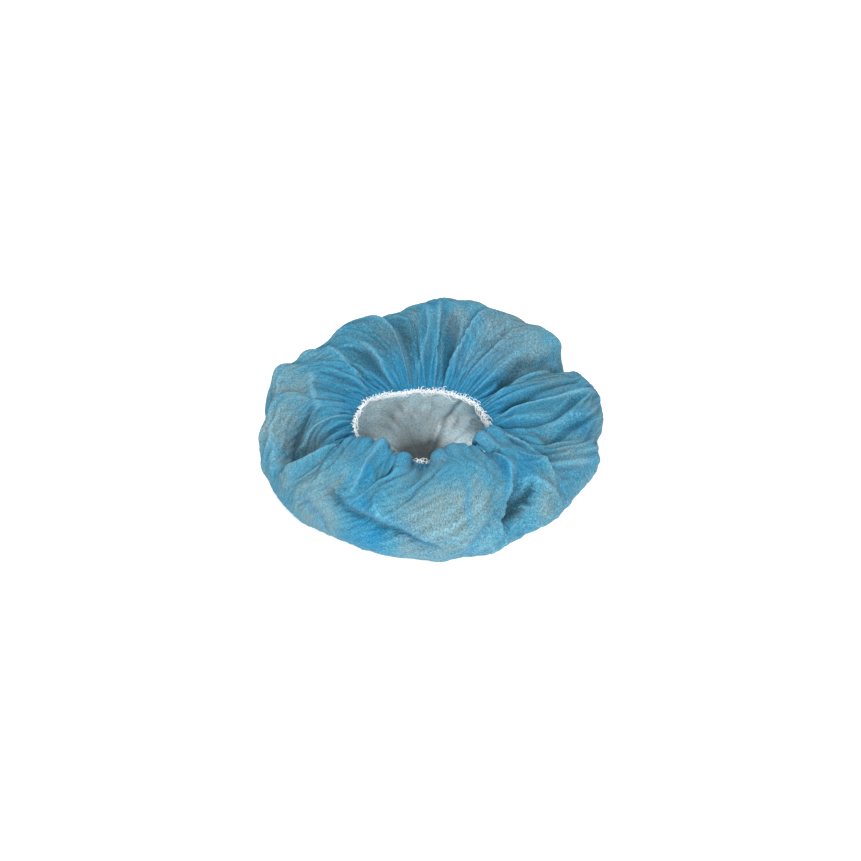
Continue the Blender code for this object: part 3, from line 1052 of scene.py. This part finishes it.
    def untangled(self, points: np.ndarray, way: np.ndarray, pinned: int) -> np.ndarray:
        """The grid with its cloth laid flat again where it has turned over on itself.

        A point whose normal leans too far from the evened normal there moves halfway to the
        middle of the four round it, with its neighbours, until none does.

        Args:
            points: the grid.
            way: the way of each row.
            pinned: how many rows at the mouth stay as they are.

        Returns:
            The grid without turned-over cloth.
        """
        least = np.interp(way, (0, 0.3, 0.8, 4), (-0.2, 0.05, 0.30, 0.35))[:, None]
        least[: pinned + 1] = -2
        for _ in range(self.untangle_steps):
            evened = grid_normals(points, evened=self.untangle_evened)
            turned = (grid_normals(points) * evened).sum(axis=-1) < least
            if not turned.any():
                break
            for _ in range(2):
                turned = turned | np.roll(turned, 1, axis=1) | np.roll(turned, -1, axis=1)
                turned[1:-1] |= turned[:-2] | turned[2:]
            turned[: pinned + 1] = False
            across = between(points)
            middle = 0.5 * (across[1:-1] + 0.5 * (points[:-2] + points[2:]))
            points[1:-1] += 0.5 * turned[1:-1, :, None] * (middle - points[1:-1])
        return points

    @staticmethod
    def eased(points: np.ndarray, pinned: int) -> np.ndarray:
        """The grid with each point a quarter of the way nearer the middle of the four round it.

        Args:
            points: the grid.
            pinned: how many rows at the mouth stay as they are.

        Returns:
            The grid with its sharpest kinks rounded.
        """
        first = max(pinned, 1)
        across = np.roll(points, 1, axis=1) + np.roll(points, -1, axis=1)
        down = points[first - 1 : -2] + points[first + 1 :]
        middle = 0.25 * (across[first:-1] + down)
        points[first:-1] += 0.25 * (middle - points[first:-1])
        return points

    def build(self) -> bpy.types.Object:
        """Makes the cloth's mesh with its flat-cut UV map and the marks that its colour follows.

        Returns:
            The cap, with a Solidify modifier for its wall.
        """
        column = np.arange(self.columns) * 360 / self.columns
        row = self.row_places()
        way = self.form.way_of_row(row)
        base = self.form.surface(column, row)
        base[-1] = base[-1].mean(axis=0)
        marks = ClothMarks(*np.zeros((6, *base.shape[:2])))
        creased = self.folded(base, way, marks)
        creased += grid_normals(base, evened=20) * self.crumple(base, way)[..., None]
        keep = np.interp(way, (0, 0.05), (0, 1))[:, None, None]
        creased = base + (creased - base) * keep
        creased[-1] = creased[-1].mean(axis=0)
        creased[..., 2] = np.maximum(creased[..., 2], 0.0)
        start = creased + grid_normals(creased, evened=20) * self.ripple(column, way)[..., None]
        start[..., 2] = np.maximum(start[..., 2], 0.0)
        points = self.settle(start, creased, way)
        LOG.info("cloth area %.4f m2", self.area(points))

        gathered = np.clip((self.gather_ratio(way) - 1.1) / 0.6, 0, 1)[:, None]
        marks.gather_and_shade = np.maximum(marks.gather_and_shade, gathered)
        # Fine ridges and valleys give painted highlights and painted shade; broad valleys give painted
        # shade.
        fading = np.interp(way, (3.3, 3.75), (1, 0))[:, None]
        fine = self.ridges(points, ((1, 0.4), (2, 0.35), (4, 0.25)), 0.0005)
        marks.ridge = 0.5 + (fine - 0.5) * fading
        marks.hollow_shade = 1 - self.ridges(points, ((7, 0.4), (12, 0.35), (18, 0.25)), 0.0004)
        mesh = self.mesh(points)
        self.write_uv(mesh, self.flat_cut(base))
        self.write_marks(mesh, marks, way)
        cap = put(mesh)
        wall = cap.modifiers.new("cloth wall", "SOLIDIFY")
        wall.thickness = self.wall
        wall.offset = -1
        wall.material_offset = 1
        return cap

    @staticmethod
    def flat_cut(base: np.ndarray) -> np.ndarray:
        """Where each point lies on the flat disc, which fills the UV square.

        Args:
            base: the form without ripples.

        Returns:
            A grid of UV coordinates, with the hem on the disc's edge.
        """
        lengths = np.linalg.norm(np.diff(base, axis=0), axis=-1).mean(axis=1)
        radius = 0.5 * (1 - np.append(0, np.cumsum(lengths)) / lengths.sum())[:, None]
        turn = np.arange(base.shape[1]) * 2 * math.pi / base.shape[1]
        return 0.5 + np.stack([radius * np.cos(turn), radius * np.sin(turn)], axis=-1)

    @staticmethod
    def ridges(points: np.ndarray, spans: tuple[tuple[int, float], ...], depth: float) -> np.ndarray:
        """How far each point stands out from those round it, from 0 in a valley to 1 on a ridge.

        Args:
            points: the grid.
            spans: how many points away to look, each with its weight.
            depth: the depth for one point away that counts as deep.

        Returns:
            A grid of numbers.
        """
        normal = grid_normals(points)
        total = np.zeros(points.shape[:2])
        for reach, weight in spans:
            around = between(points, reach)
            padded = np.concatenate([points[:1]] * reach + [points] + [points[-1:]] * reach)
            down = 0.5 * (padded[: -2 * reach] + padded[2 * reach :])
            out = ((points - 0.5 * (around + down)) * normal).sum(axis=-1)
            total += weight * out / (depth * reach)
        return np.clip(0.5 + 0.5 * np.tanh(total), 0, 1)

    @staticmethod
    def area(points: np.ndarray) -> float:
        """The area of one face of the cloth.

        Args:
            points: the grid.

        Returns:
            The area in square metres.
        """
        down = points[1:] - points[:-1]
        along = np.roll(points, -1, axis=1) - points
        return float(np.linalg.norm(np.cross(down, along[1:]), axis=-1).sum())

    @staticmethod
    def mesh(points: np.ndarray) -> bpy.types.Mesh:
        """A mesh of the grid, whose last row is one point.

        Args:
            points: the grid, a row for each row from the hem to the crown.

        Returns:
            A smooth mesh with its faces pointing out of the bag.
        """
        rows, columns = points.shape[:2]
        corner = np.arange((rows - 1) * columns).reshape(rows - 1, columns)
        after = np.roll(corner, -1, axis=1)
        quads = np.stack([corner[:-1], corner[1:], after[1:], after[:-1]], axis=-1).reshape(-1, 4)
        pole = (rows - 1) * columns
        fan = np.stack([corner[-1], np.full(columns, pole), after[-1]], axis=-1)
        places = np.concatenate([points[:-1].reshape(-1, 3), points[-1, :1]])
        return smooth_mesh("cap_cloth", places, quads, fan)

    @staticmethod
    def write_uv(mesh: bpy.types.Mesh, cut: np.ndarray) -> None:
        """Puts the flat cut's coordinates on the mesh as its UV map.

        Args:
            mesh: the cloth's mesh.
            cut: the grid of coordinates.
        """
        values = np.concatenate([cut[:-1].reshape(-1, 2), cut[-1, :1]])
        corner = np.empty(len(mesh.loops), np.int32)
        mesh.loops.foreach_get("vertex_index", corner)
        layer = mesh.uv_layers.new(name="flat_cut")
        layer.uv.foreach_set("vector", values[corner].astype(np.float32).ravel())

    @staticmethod
    def write_marks(mesh: bpy.types.Mesh, marks: ClothMarks, way: np.ndarray) -> None:
        """Puts what the colour follows on the mesh, as an attribute of its points for each.

        Args:
            mesh: the cloth's mesh.
            marks: the marks.
            way: the way of each row.
        """
        crown = np.interp(way, (2.5, 2.8), (0, 1))[:, None]
        # The outer face's painted shade: broad valleys, and the shade that patches and steps give.
        hollow_shade = np.clip(marks.hollow_shade, 0.5, 1) - 0.5 + 0.5 * np.clip(marks.shade, 0, 1)
        grids = {
            "gather_and_shade": marks.gather_and_shade,
            "tone": 0.5 + 0.5 * np.clip(marks.tone, -1, 1),
            "rim": marks.rim,
            "ridge": marks.ridge,
            "hollow_shade": hollow_shade * (1 - crown),
            # The crown's inner face: painted shadow where the shade is high, painted light where it is
            # low.
            "crown_shade": np.clip(0.30 + marks.shade, 0, 1.3) * crown,
        }
        for name, grid in grids.items():
            values = np.append(grid[:-1].ravel(), grid[-1, 0])
            layer = mesh.attributes.new(name, "FLOAT", "POINT")
            layer.data.foreach_set("value", values.astype(np.float32))


class Shade(Enum):
    """Colours of the cloth and thread, in linear light."""

    GATHER_BLUE = (0.005, 0.228, 0.425, 1.0)
    SHEET_BLUE = (0.042, 0.245, 0.365, 1.0)
    # Grey and taupe where thin: partly painted shade, the darker inside seen through thin cloth.
    THIN_GREY = (0.165, 0.280, 0.315, 1.0)
    THIN_TAUPE = (0.215, 0.285, 0.275, 1.0)
    FIBRE_PALE = (0.220, 0.500, 0.620, 1.0)
    # A painted highlight for fold edges and ridge crests.
    RIM_HIGHLIGHT = (0.220, 0.560, 0.730, 1.0)
    # The inner face drawn pale grey instead of the cloth's blue, with brown patches: painted light for
    # the light that comes in through the walls.
    INNER_LIT_GREY = (0.600, 0.870, 0.970, 1.0)
    INNER_LIT_PALE = (0.720, 0.880, 0.920, 1.0)
    INNER_LIT_TAUPE = (0.600, 0.580, 0.500, 1.0)
    INNER_LIT_FIBRE = (0.860, 0.930, 0.950, 1.0)
    # White with a slight blue tint: a painted reflection of the blue cloth.
    THREAD_WHITE = (0.850, 0.880, 0.890, 1.0)
    ELASTIC_GREY = (0.300, 0.470, 0.560, 1.0)
    FLOOR_WHITE = (0.900, 0.900, 0.900, 1.0)


class Nodes:
    """A short way to write a material's nodes."""

    def __init__(self, name: str) -> None:
        """Starts an empty material.

        Args:
            name: its name.
        """
        self.material = bpy.data.materials.new(name)
        self.material.use_nodes = True
        self.tree = self.material.node_tree
        self.tree.nodes.clear()

    def add(self, kind: str, **settings: object) -> bpy.types.Node:
        """Adds a node.

        Args:
            kind: Blender's name for it.
            settings: what is set on it.

        Returns:
            The node.
        """
        node = self.tree.nodes.new(kind)
        for name, value in settings.items():
            setattr(node, name, value)
        return node

    def feed(self, socket: Socket, value: object) -> None:
        """Links a socket to another, or sets it to a plain value.

        Args:
            socket: the input.
            value: an output, or a value.
        """
        if isinstance(value, Socket):
            self.tree.links.new(value, socket)
        else:
            socket.default_value = value

    def mark(self, name: str) -> Socket:
        """The mesh's attribute of this name."""
        return self.add("ShaderNodeAttribute", attribute_name=name).outputs["Fac"]

    def noise(self, where: Socket, scale: float, detail: float, distortion: float = 0.0) -> Socket:
        """A noise texture.

        Args:
            where: the space that it lies in.
            scale: its waves to a metre.
            detail: how many finer layers it has.
            distortion: how far it is bent.

        Returns:
            Its strength, about 0.5 on average.
        """
        node = self.add("ShaderNodeTexNoise")
        self.feed(node.inputs["Vector"], where)
        node.inputs["Scale"].default_value = scale
        node.inputs["Detail"].default_value = detail
        node.inputs["Distortion"].default_value = distortion
        return node.outputs["Fac"]

    def maths(self, operation: str, first: object, second: object = 0.0, clamp: bool = False) -> Socket:
        """The result of a maths node.

        Args:
            operation: Blender's name for it.
            first: an output or a number.
            second: an output or a number.
            clamp: whether the result is held between 0 and 1.

        Returns:
            The result.
        """
        node = self.add("ShaderNodeMath", operation=operation, use_clamp=clamp)
        self.feed(node.inputs[0], first)
        self.feed(node.inputs[1], second)
        return node.outputs[0]

    def spread(
        self, value: Socket, low: float, high: float, to_low: float = 0.0, to_high: float = 1.0
    ) -> Socket:
        """A value carried from one range to another, and held inside it.

        Args:
            value: the value.
            low: the value that becomes to_low.
            high: the value that becomes to_high.
            to_low: one end of the new range.
            to_high: the other end.

        Returns:
            The new value.
        """
        node = self.add("ShaderNodeMapRange", clamp=True)
        self.feed(node.inputs["Value"], value)
        ends = {"From Min": low, "From Max": high, "To Min": to_low, "To Max": to_high}
        for name, number in ends.items():
            node.inputs[name].default_value = number
        return node.outputs[0]

    def blend(self, share: object, first: object, second: object, how: str = "MIX") -> Socket:
        """Two colours mixed.

        Args:
            share: how much of the second there is, an output or a number.
            first: a colour, or an output.
            second: a colour, or an output.
            how: Blender's name for the way of mixing.

        Returns:
            The mixed colour.
        """
        node = self.add("ShaderNodeMix", data_type="RGBA", blend_type=how, clamp_factor=True)
        self.feed(node.inputs[0], share)
        self.feed(node.inputs[6], first)
        self.feed(node.inputs[7], second)
        return node.outputs[2]

    def darken(self, colour: Socket, value: Socket, *ends: float) -> Socket:
        """A colour times a value carried to a new range.

        Args:
            colour: the colour.
            value: the value.
            ends: the ends of its range and those of the new one, as in spread.

        Returns:
            The darker colour.
        """
        return self.blend(1.0, colour, self.spread(value, *ends), "MULTIPLY")

    def matt(
        self, colour: object, roughness: float, specular: float, sheen: float = 0.0
    ) -> bpy.types.Node:
        """A Principled surface without a coat.

        Args:
            colour: its colour, or an output.
            roughness: its roughness.
            specular: its specular level.
            sheen: how much of a sheen its fuzz gives.

        Returns:
            The shader's node.
        """
        node = self.add("ShaderNodeBsdfPrincipled")
        self.feed(node.inputs["Base Color"], colour)
        node.inputs["Roughness"].default_value = roughness
        node.inputs["Specular IOR Level"].default_value = specular
        node.inputs["Sheen Weight"].default_value = sheen
        return node

    def finished(self, shader: bpy.types.Node) -> bpy.types.Material:
        """The material, with this shader as its surface."""
        self.feed(self.add("ShaderNodeOutputMaterial").inputs[0], shader.outputs[0])
        return self.material


@dataclass(frozen=True)
class NonwovenCloth:
    """Thin spun cloth: a web of pale fibres, deep blue where it is gathered and grey where thin,
    with painted shade in its hollows and creases and painted highlights on its ridges and fold
    edges.

    inner: whether it is the bag's inner face.
    light_through: the share of the light that goes through it.
    strokes: what its palest and its darkest strokes multiply the colour by.
    """

    name: str
    inner: bool = False
    light_through: float = 0.35
    strokes: tuple[float, float] = (1.32, 0.58)

    def make(self) -> bpy.types.Material:
        """Builds the material on the flat cut's UV map, scaled to metres.

        Returns:
            The material.
        """
        n = Nodes(self.name)
        cut = n.add("ShaderNodeUVMap", uv_map="flat_cut")
        metres = n.add("ShaderNodeMapping")
        n.feed(metres.inputs["Vector"], cut.outputs["UV"])
        metres.inputs["Scale"].default_value = (CUT_WIDTH, CUT_WIDTH, 1)
        where = metres.outputs[0]
        fibres, strokes, bent = self.web(n, where)
        clouds = n.noise(where, 34, 4, 0.5)
        patches = n.noise(bent, 90, 3, 0.3)
        face = self.inside if self.inner else self.outside
        colour = face(n, fibres, clouds, patches)
        colour = n.darken(colour, strokes, 0.34, 0.66, *self.strokes)
        cloth = n.matt(colour, 0.85, 0.25, 0.1)
        bump = n.add("ShaderNodeBump")
        bump.inputs["Strength"].default_value = 0.35
        bump.inputs["Distance"].default_value = 0.0005
        n.feed(bump.inputs["Height"], n.maths("SUBTRACT", fibres, strokes))
        n.feed(cloth.inputs["Normal"], bump.outputs[0])
        through = n.add("ShaderNodeBsdfTranslucent")
        n.feed(through.inputs["Color"], colour)
        mixed = n.add("ShaderNodeMixShader")
        mixed.inputs[0].default_value = self.light_through
        n.feed(mixed.inputs[1], cloth.outputs[0])
        n.feed(mixed.inputs[2], through.outputs[0])
        return n.finished(mixed)

    def web(self, n: Nodes, where: Socket) -> tuple[Socket, Socket, Socket]:
        """The web of fibres.

        Each of three layers is a pale line wherever a noise crosses its middle value, in a
        space that a broad noise bends.

        Args:
            n: the material's nodes.
            where: the flat cut, in metres.

        Returns:
            The pale lines, the dark strokes between them and the bent space.
        """
        swirl = n.add("ShaderNodeTexNoise")
        n.feed(swirl.inputs["Vector"], where)
        swirl.inputs["Scale"].default_value = 55
        bend = n.add("ShaderNodeVectorMath", operation="MULTIPLY_ADD")
        n.feed(bend.inputs[0], swirl.outputs["Color"])
        bend.inputs[1].default_value = (0.010, 0.010, 0)
        n.feed(bend.inputs[2], where)
        bent = bend.outputs[0]
        fibres = 0.0
        layers = ((330, 0.05, 0.8, 0.40), (680, 0.07, 0.6, 0.35), (1250, 0.09, 0.3, 0.35))
        for scale, width, distortion, strength in layers:
            off = n.maths("SUBTRACT", n.noise(bent, scale, 2, distortion), 0.5)
            line = n.spread(n.maths("ABSOLUTE", off), 0.0, width, strength, 0.0)
            fibres = n.maths("ADD", fibres, line, clamp=True)
        return fibres, n.noise(bent, 760, 4, 0.3), bent

    def outside(self, n: Nodes, fibres: Socket, clouds: Socket, patches: Socket) -> Socket:
        """The outer face's colour, from blue to grey by tone and deeper where gathered, with painted
        shade in its valleys and hollows and painted highlights on its ridges and fold edges.

        Args:
            n: the material's nodes.
            fibres: the pale lines.
            clouds: a broad noise.
            patches: a finer noise.

        Returns:
            The colour.
        """
        gather_and_shade, tone, rim = n.mark("gather_and_shade"), n.mark("tone"), n.mark("rim")
        ridge, hollow_shade = n.mark("ridge"), n.mark("hollow_shade")
        uneven = n.maths("ADD", tone, n.spread(clouds, 0.3, 0.7, -0.22, 0.22))
        grey = n.spread(uneven, 0.50, 0.95)
        deep = n.maths("MAXIMUM", n.spread(uneven, 0.45, 0.05), n.maths("MULTIPLY", gather_and_shade, 0.85))
        sheet = n.blend(grey, Shade.SHEET_BLUE.value, Shade.THIN_GREY.value)
        warm = n.maths("MULTIPLY", n.spread(patches, 0.48, 0.66), n.spread(grey, 0.0, 1.0, 0.10, 0.65))
        sheet = n.blend(warm, sheet, Shade.THIN_TAUPE.value)
        sheet = n.blend(deep, sheet, Shade.GATHER_BLUE.value)
        # Painted shade in the valleys of the fine folds.
        sheet = n.darken(sheet, ridge, 0.1, 0.6, 0.75, 1.0)
        # Painted shade in broad valleys and where patches and steps give shade.
        sheet = n.darken(sheet, hollow_shade, 0.0, 0.9, 1.0, 0.35)
        # Pale fibres show more on ridges: a painted highlight.
        pale = n.maths("MULTIPLY", fibres, n.spread(ridge, 0.2, 0.9, 0.25, 0.60))
        pale = n.maths("MULTIPLY", pale, n.spread(deep, 0.0, 1.0, 1.0, 0.55))
        sheet = n.blend(pale, sheet, Shade.FIBRE_PALE.value)
        # Painted highlight along fold edges and on ridge crests.
        edge = n.maths("MAXIMUM", rim, n.spread(ridge, 0.78, 1.0, 0.0, 0.6))
        return n.blend(n.maths("MULTIPLY", edge, 0.55), sheet, Shade.RIM_HIGHLIGHT.value)

    def inside(self, n: Nodes, fibres: Socket, clouds: Socket, patches: Socket) -> Socket:
        """The inner face's colour: the blue cloth drawn pale grey with brown patches, painted light for
        what comes in through the walls, with painted shade in its creases and along fold lines, and
        painted shadow and painted light on the crown.

        Args:
            n: the material's nodes.
            fibres: the pale lines.
            clouds: a broad noise.
            patches: a finer noise.

        Returns:
            The colour.
        """
        # The pale grey is painted light for what comes in through the walls; the cloth itself is blue.
        sheet = n.blend(n.spread(clouds, 0.25, 0.75), Shade.INNER_LIT_GREY.value, Shade.INNER_LIT_PALE.value)
        sheet = n.blend(n.spread(patches, 0.40, 0.70, 0.0, 0.5), sheet, Shade.INNER_LIT_TAUPE.value)
        sheet = n.blend(n.maths("MULTIPLY", fibres, 0.5), sheet, Shade.INNER_LIT_FIBRE.value)
        # Painted shade in the creases, with a slight painted highlight on the ridges.
        sheet = n.darken(sheet, n.mark("ridge"), 0.0, 1.2, 1.08, 0.78)
        # Painted shadow on the crown, and painted light where crown_shade is low.
        sheet = n.darken(sheet, n.mark("crown_shade"), 0.0, 1.3, 1.35, 0.10)
        # Painted shade along the fold lines.
        return n.darken(sheet, n.mark("rim"), 0.0, 0.9, 1.0, 0.45)


@dataclass(frozen=True)
class Thread:
    """White spun thread or covered elastic, slightly uneven in tone."""

    name: str
    colour: Shade = Shade.THREAD_WHITE

    def make(self) -> bpy.types.Material:
        """Builds the material on Object coordinates.

        Returns:
            The material.
        """
        n = Nodes(self.name)
        place = n.add("ShaderNodeTexCoord").outputs["Object"]
        tone = n.spread(n.noise(place, 900, 2), 0.3, 0.7)
        red, green, blue, alpha = self.colour.value
        darker = (0.86 * red, 0.86 * green, 0.86 * blue, alpha)
        return n.finished(n.matt(n.blend(tone, darker, self.colour.value), 0.7, 0.3, 0.2))


def tube_mesh(
    name: str, path: np.ndarray, outward: np.ndarray, radius: float, sides: int
) -> bpy.types.Mesh:
    """A closed tube along a closed path.

    Each ring's points lie at path + radius (cos a outward + sin a across), where across is
    square to the path and to outward.

    Args:
        name: the mesh's name.
        path: points of the path, which closes on itself.
        outward: a unit vector at each point, away from the path's own middle.
        radius: the tube's radius.
        sides: points in each ring.

    Returns:
        A smooth mesh.
    """
    ahead = np.roll(path, -1, axis=0) - np.roll(path, 1, axis=0)
    ahead /= np.linalg.norm(ahead, axis=1, keepdims=True)
    outward = outward - (outward * ahead).sum(axis=1, keepdims=True) * ahead
    outward /= np.linalg.norm(outward, axis=1, keepdims=True)
    across = np.cross(ahead, outward)
    turn = np.arange(sides) * 2 * math.pi / sides
    out = np.cos(turn)[None, :, None] * outward[:, None]
    rings = path[:, None] + radius * (out + np.sin(turn)[None, :, None] * across[:, None])
    corner = np.arange(len(path) * sides).reshape(len(path), sides)
    ahead_corner = np.roll(corner, -1, axis=0)
    beside, opposite = np.roll(corner, -1, axis=1), np.roll(ahead_corner, -1, axis=1)
    quads = np.stack([corner, beside, opposite, ahead_corner], axis=-1)
    return smooth_mesh(name, rings.reshape(-1, 3), quads.reshape(-1, 4))


@dataclass(frozen=True)
class Stitching:
    """One thread coiled round the cap's edge.

    loops: its turns round the whole mouth.
    half_height: half of how far a turn reaches up and down the hem.
    half_thick: half of how far it reaches in and out.
    uneven: how much the turns differ in size, as a share.
    slip: how far they lean along the edge, in turns.
    lift: how far the coil's middle lies above the hem's lower edge.
    thread_radius: the thread's own radius.
    stray: how far the coil's middle wanders.
    """

    name: str
    loops: int
    half_height: float
    half_thick: float
    uneven: float
    slip: float
    lift: float
    thread_radius: float
    stray: float


@dataclass
class ElasticEdge:
    """The elastic in the cap's edge and the overlock thread that binds it.

    inset: how far towards the mouth's middle they lie from the hem's lower edge.
    points_a_loop: points in each turn of a thread.
    """

    form: BagForm
    elastic_radius: float = 0.0007
    inset: float = 0.0002
    points_a_loop: int = 10
    seed: int = 4
    stitches: tuple[Stitching, ...] = (
        Stitching("overlock_band", 191, 0.0014, 0.0010, 0.25, 0.8, 0.0000, 0.00025, 0.0003),
        Stitching("overlock_cross", 149, 0.0018, 0.0015, 0.45, -1.6, 0.0003, 0.00025, 0.0006),
        Stitching("overlock_loops", 127, 0.0022, 0.0022, 0.55, 1.7, 0.0006, 0.00025, 0.0009),
    )

    def line(self, turn: np.ndarray) -> tuple[np.ndarray, np.ndarray]:
        """The lower edge of the hem and the direction away from the mouth's middle.

        Args:
            turn: places round the mouth, in turns from 0 to 1.

        Returns:
            Points, and level unit vectors.
        """
        edge = np.zeros_like(turn)
        hem = self.form.surface(turn * 360, edge, single=True)
        ahead = self.form.surface(turn * 360 + 0.5, edge, single=True) - hem
        outward = np.stack([ahead[:, 1], -ahead[:, 0], np.zeros(len(turn))], axis=-1)
        outward /= np.linalg.norm(outward, axis=1, keepdims=True)
        return hem - outward * self.inset, outward

    def coil(self, stitch: Stitching, seed: int) -> bpy.types.Object:
        """A thread coiled round the edge in uneven turns.

        Its path is an ellipse across the hem whose middle moves along the mouth, with each
        turn's size and lean eased from one random value to the next.

        Args:
            stitch: the sizes of the coil.
            seed: the seed of its unevenness.

        Returns:
            The thread's object.
        """
        rng = np.random.default_rng(seed)
        count = stitch.loops * self.points_a_loop
        share = np.arange(count) / count
        place = share * stitch.loops
        knots = np.arange(stitch.loops * 2) / 2

        def uneven(spread: float) -> np.ndarray:
            """Random values eased along the coil, two to a turn."""
            return np.interp(place, knots, rng.normal(0, spread, len(knots)), period=stitch.loops)

        size = np.clip(1 + uneven(stitch.uneven), 0.45, 1.8)
        angle = 2 * math.pi * place + uneven(0.3)
        along = stitch.slip * np.sin(angle) + uneven(0.25)
        middle, outward = self.line((share + along / stitch.loops) % 1)
        up = np.array([0.0, 0.0, 1.0])
        away = (stitch.half_thick * size * np.cos(angle))[:, None] * outward
        away = away + (stitch.half_height * size * np.sin(angle))[:, None] * up
        path = middle + up * stitch.lift + away
        path = path + uneven(stitch.stray)[:, None] * up + uneven(stitch.stray)[:, None] * outward
        return put(tube_mesh(stitch.name, path, away, stitch.thread_radius, sides=4))

    def build(self) -> list[bpy.types.Object]:
        """Makes the elastic and its threads.

        Returns:
            The pieces, the elastic first.
        """
        share = np.arange(360) / 360
        middle, outward = self.line(share)
        middle = middle - np.array([0.0, 0.0, self.elastic_radius - self.inset])
        pieces = [put(tube_mesh("elastic_core", middle, outward, self.elastic_radius, sides=10))]
        for index, stitch in enumerate(self.stitches):
            pieces.append(self.coil(stitch, self.seed + index))
        return pieces


@dataclass
class Studio:
    """A plain white floor, soft light from all round and the camera of the photograph.

    distance: from the camera to its target.
    elevation: the camera's, in degrees.
    frame_width: how much the picture spans at that distance.
    floor_glow: the floor's own light, which makes the cap's shadow fainter.
    sky: the strength of the even light.
    panels: each soft panel's name, place, power in watts and size.
    """

    distance: float = 1.5
    elevation: float = 40.0
    frame_width: float = 0.6888
    target: tuple[float, float, float] = (-0.0012, 0.0, 0.0355)
    floor_glow: float = 0.3
    sky: float = 0.54
    panels: tuple[tuple[str, tuple[float, float, float], float, float], ...] = (
        ("top_panel", (-0.35, 0.15, 1.55), 18.5, 0.9),
        ("front_panel", (0.20, -1.50, 0.95), 36.0, 0.6),
    )

    def floor(self) -> None:
        """Lays the floor, a hair below the cap."""
        bpy.ops.mesh.primitive_plane_add(size=12, location=(0, 0, -0.0002))
        floor = bpy.context.object
        floor.name = "floor"
        n = Nodes("floor_white")
        white = n.matt(Shade.FLOOR_WHITE.value, 0.9, 0.1)
        white.inputs["Emission Color"].default_value = (1, 1, 1, 1)
        white.inputs["Emission Strength"].default_value = self.floor_glow
        floor.data.materials.append(n.finished(white))

    def light(self) -> None:
        """Lights the scene with a bright even sky and two large soft panels."""
        world = bpy.data.worlds.new("studio")
        bpy.context.scene.world = world
        world.use_nodes = True
        sky = world.node_tree.nodes["Background"]
        sky.inputs[0].default_value = (1, 1, 1, 1)
        sky.inputs[1].default_value = self.sky
        for name, place, power, size in self.panels:
            lamp = bpy.data.lights.new(name, "AREA")
            lamp.energy = power
            lamp.size = size
            panel = put(lamp)
            panel.location = place
            panel.rotation_euler = (-Vector(place)).to_track_quat("-Z", "Y").to_euler()

    def camera(self) -> None:
        """Places the camera at the photograph's angle, so that the frame spans frame_width."""
        lens = bpy.data.cameras.new("camera")
        lens.lens = lens.sensor_width * self.distance / self.frame_width
        camera = put(lens)
        tilt = math.radians(self.elevation)
        back = Vector((0, -math.cos(tilt), math.sin(tilt)))
        camera.location = Vector(self.target) + back * self.distance
        camera.rotation_euler = (-back).to_track_quat("-Z", "Y").to_euler()
        bpy.context.scene.camera = camera

    def build(self) -> None:
        """Builds the floor, the lights and the camera, with plain colours in the picture."""
        self.floor()
        self.light()
        self.camera()
        bpy.context.scene.view_settings.view_transform = "Standard"


def main() -> None:
    """Builds the studio, the cap and its edge."""
    logging.basicConfig(level=logging.INFO, format="%(name)s: %(message)s")
    Studio().build()
    form = BagForm()

    cap = GatheredCap(form).build()
    outside = NonwovenCloth("nonwoven_outside")
    inside = NonwovenCloth("nonwoven_inside", inner=True, light_through=0.12, strokes=(1.22, 0.72))
    for cloth in (outside, inside):
        cap.data.materials.append(cloth.make())
    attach(cap, "root")
    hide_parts("cap_body")
    LOG.info("built %s", cap.name)

    white = Thread("white_thread").make()
    elastic = Thread("elastic", Shade.ELASTIC_GREY).make()
    edge = ElasticEdge(form).build()
    for piece in edge:
        piece.data.materials.append(elastic if piece is edge[0] else white)
        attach(piece, "root")
        LOG.info("built %s", piece.name)
    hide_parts("elastic_band")


if __name__ == "__main__":
    main()
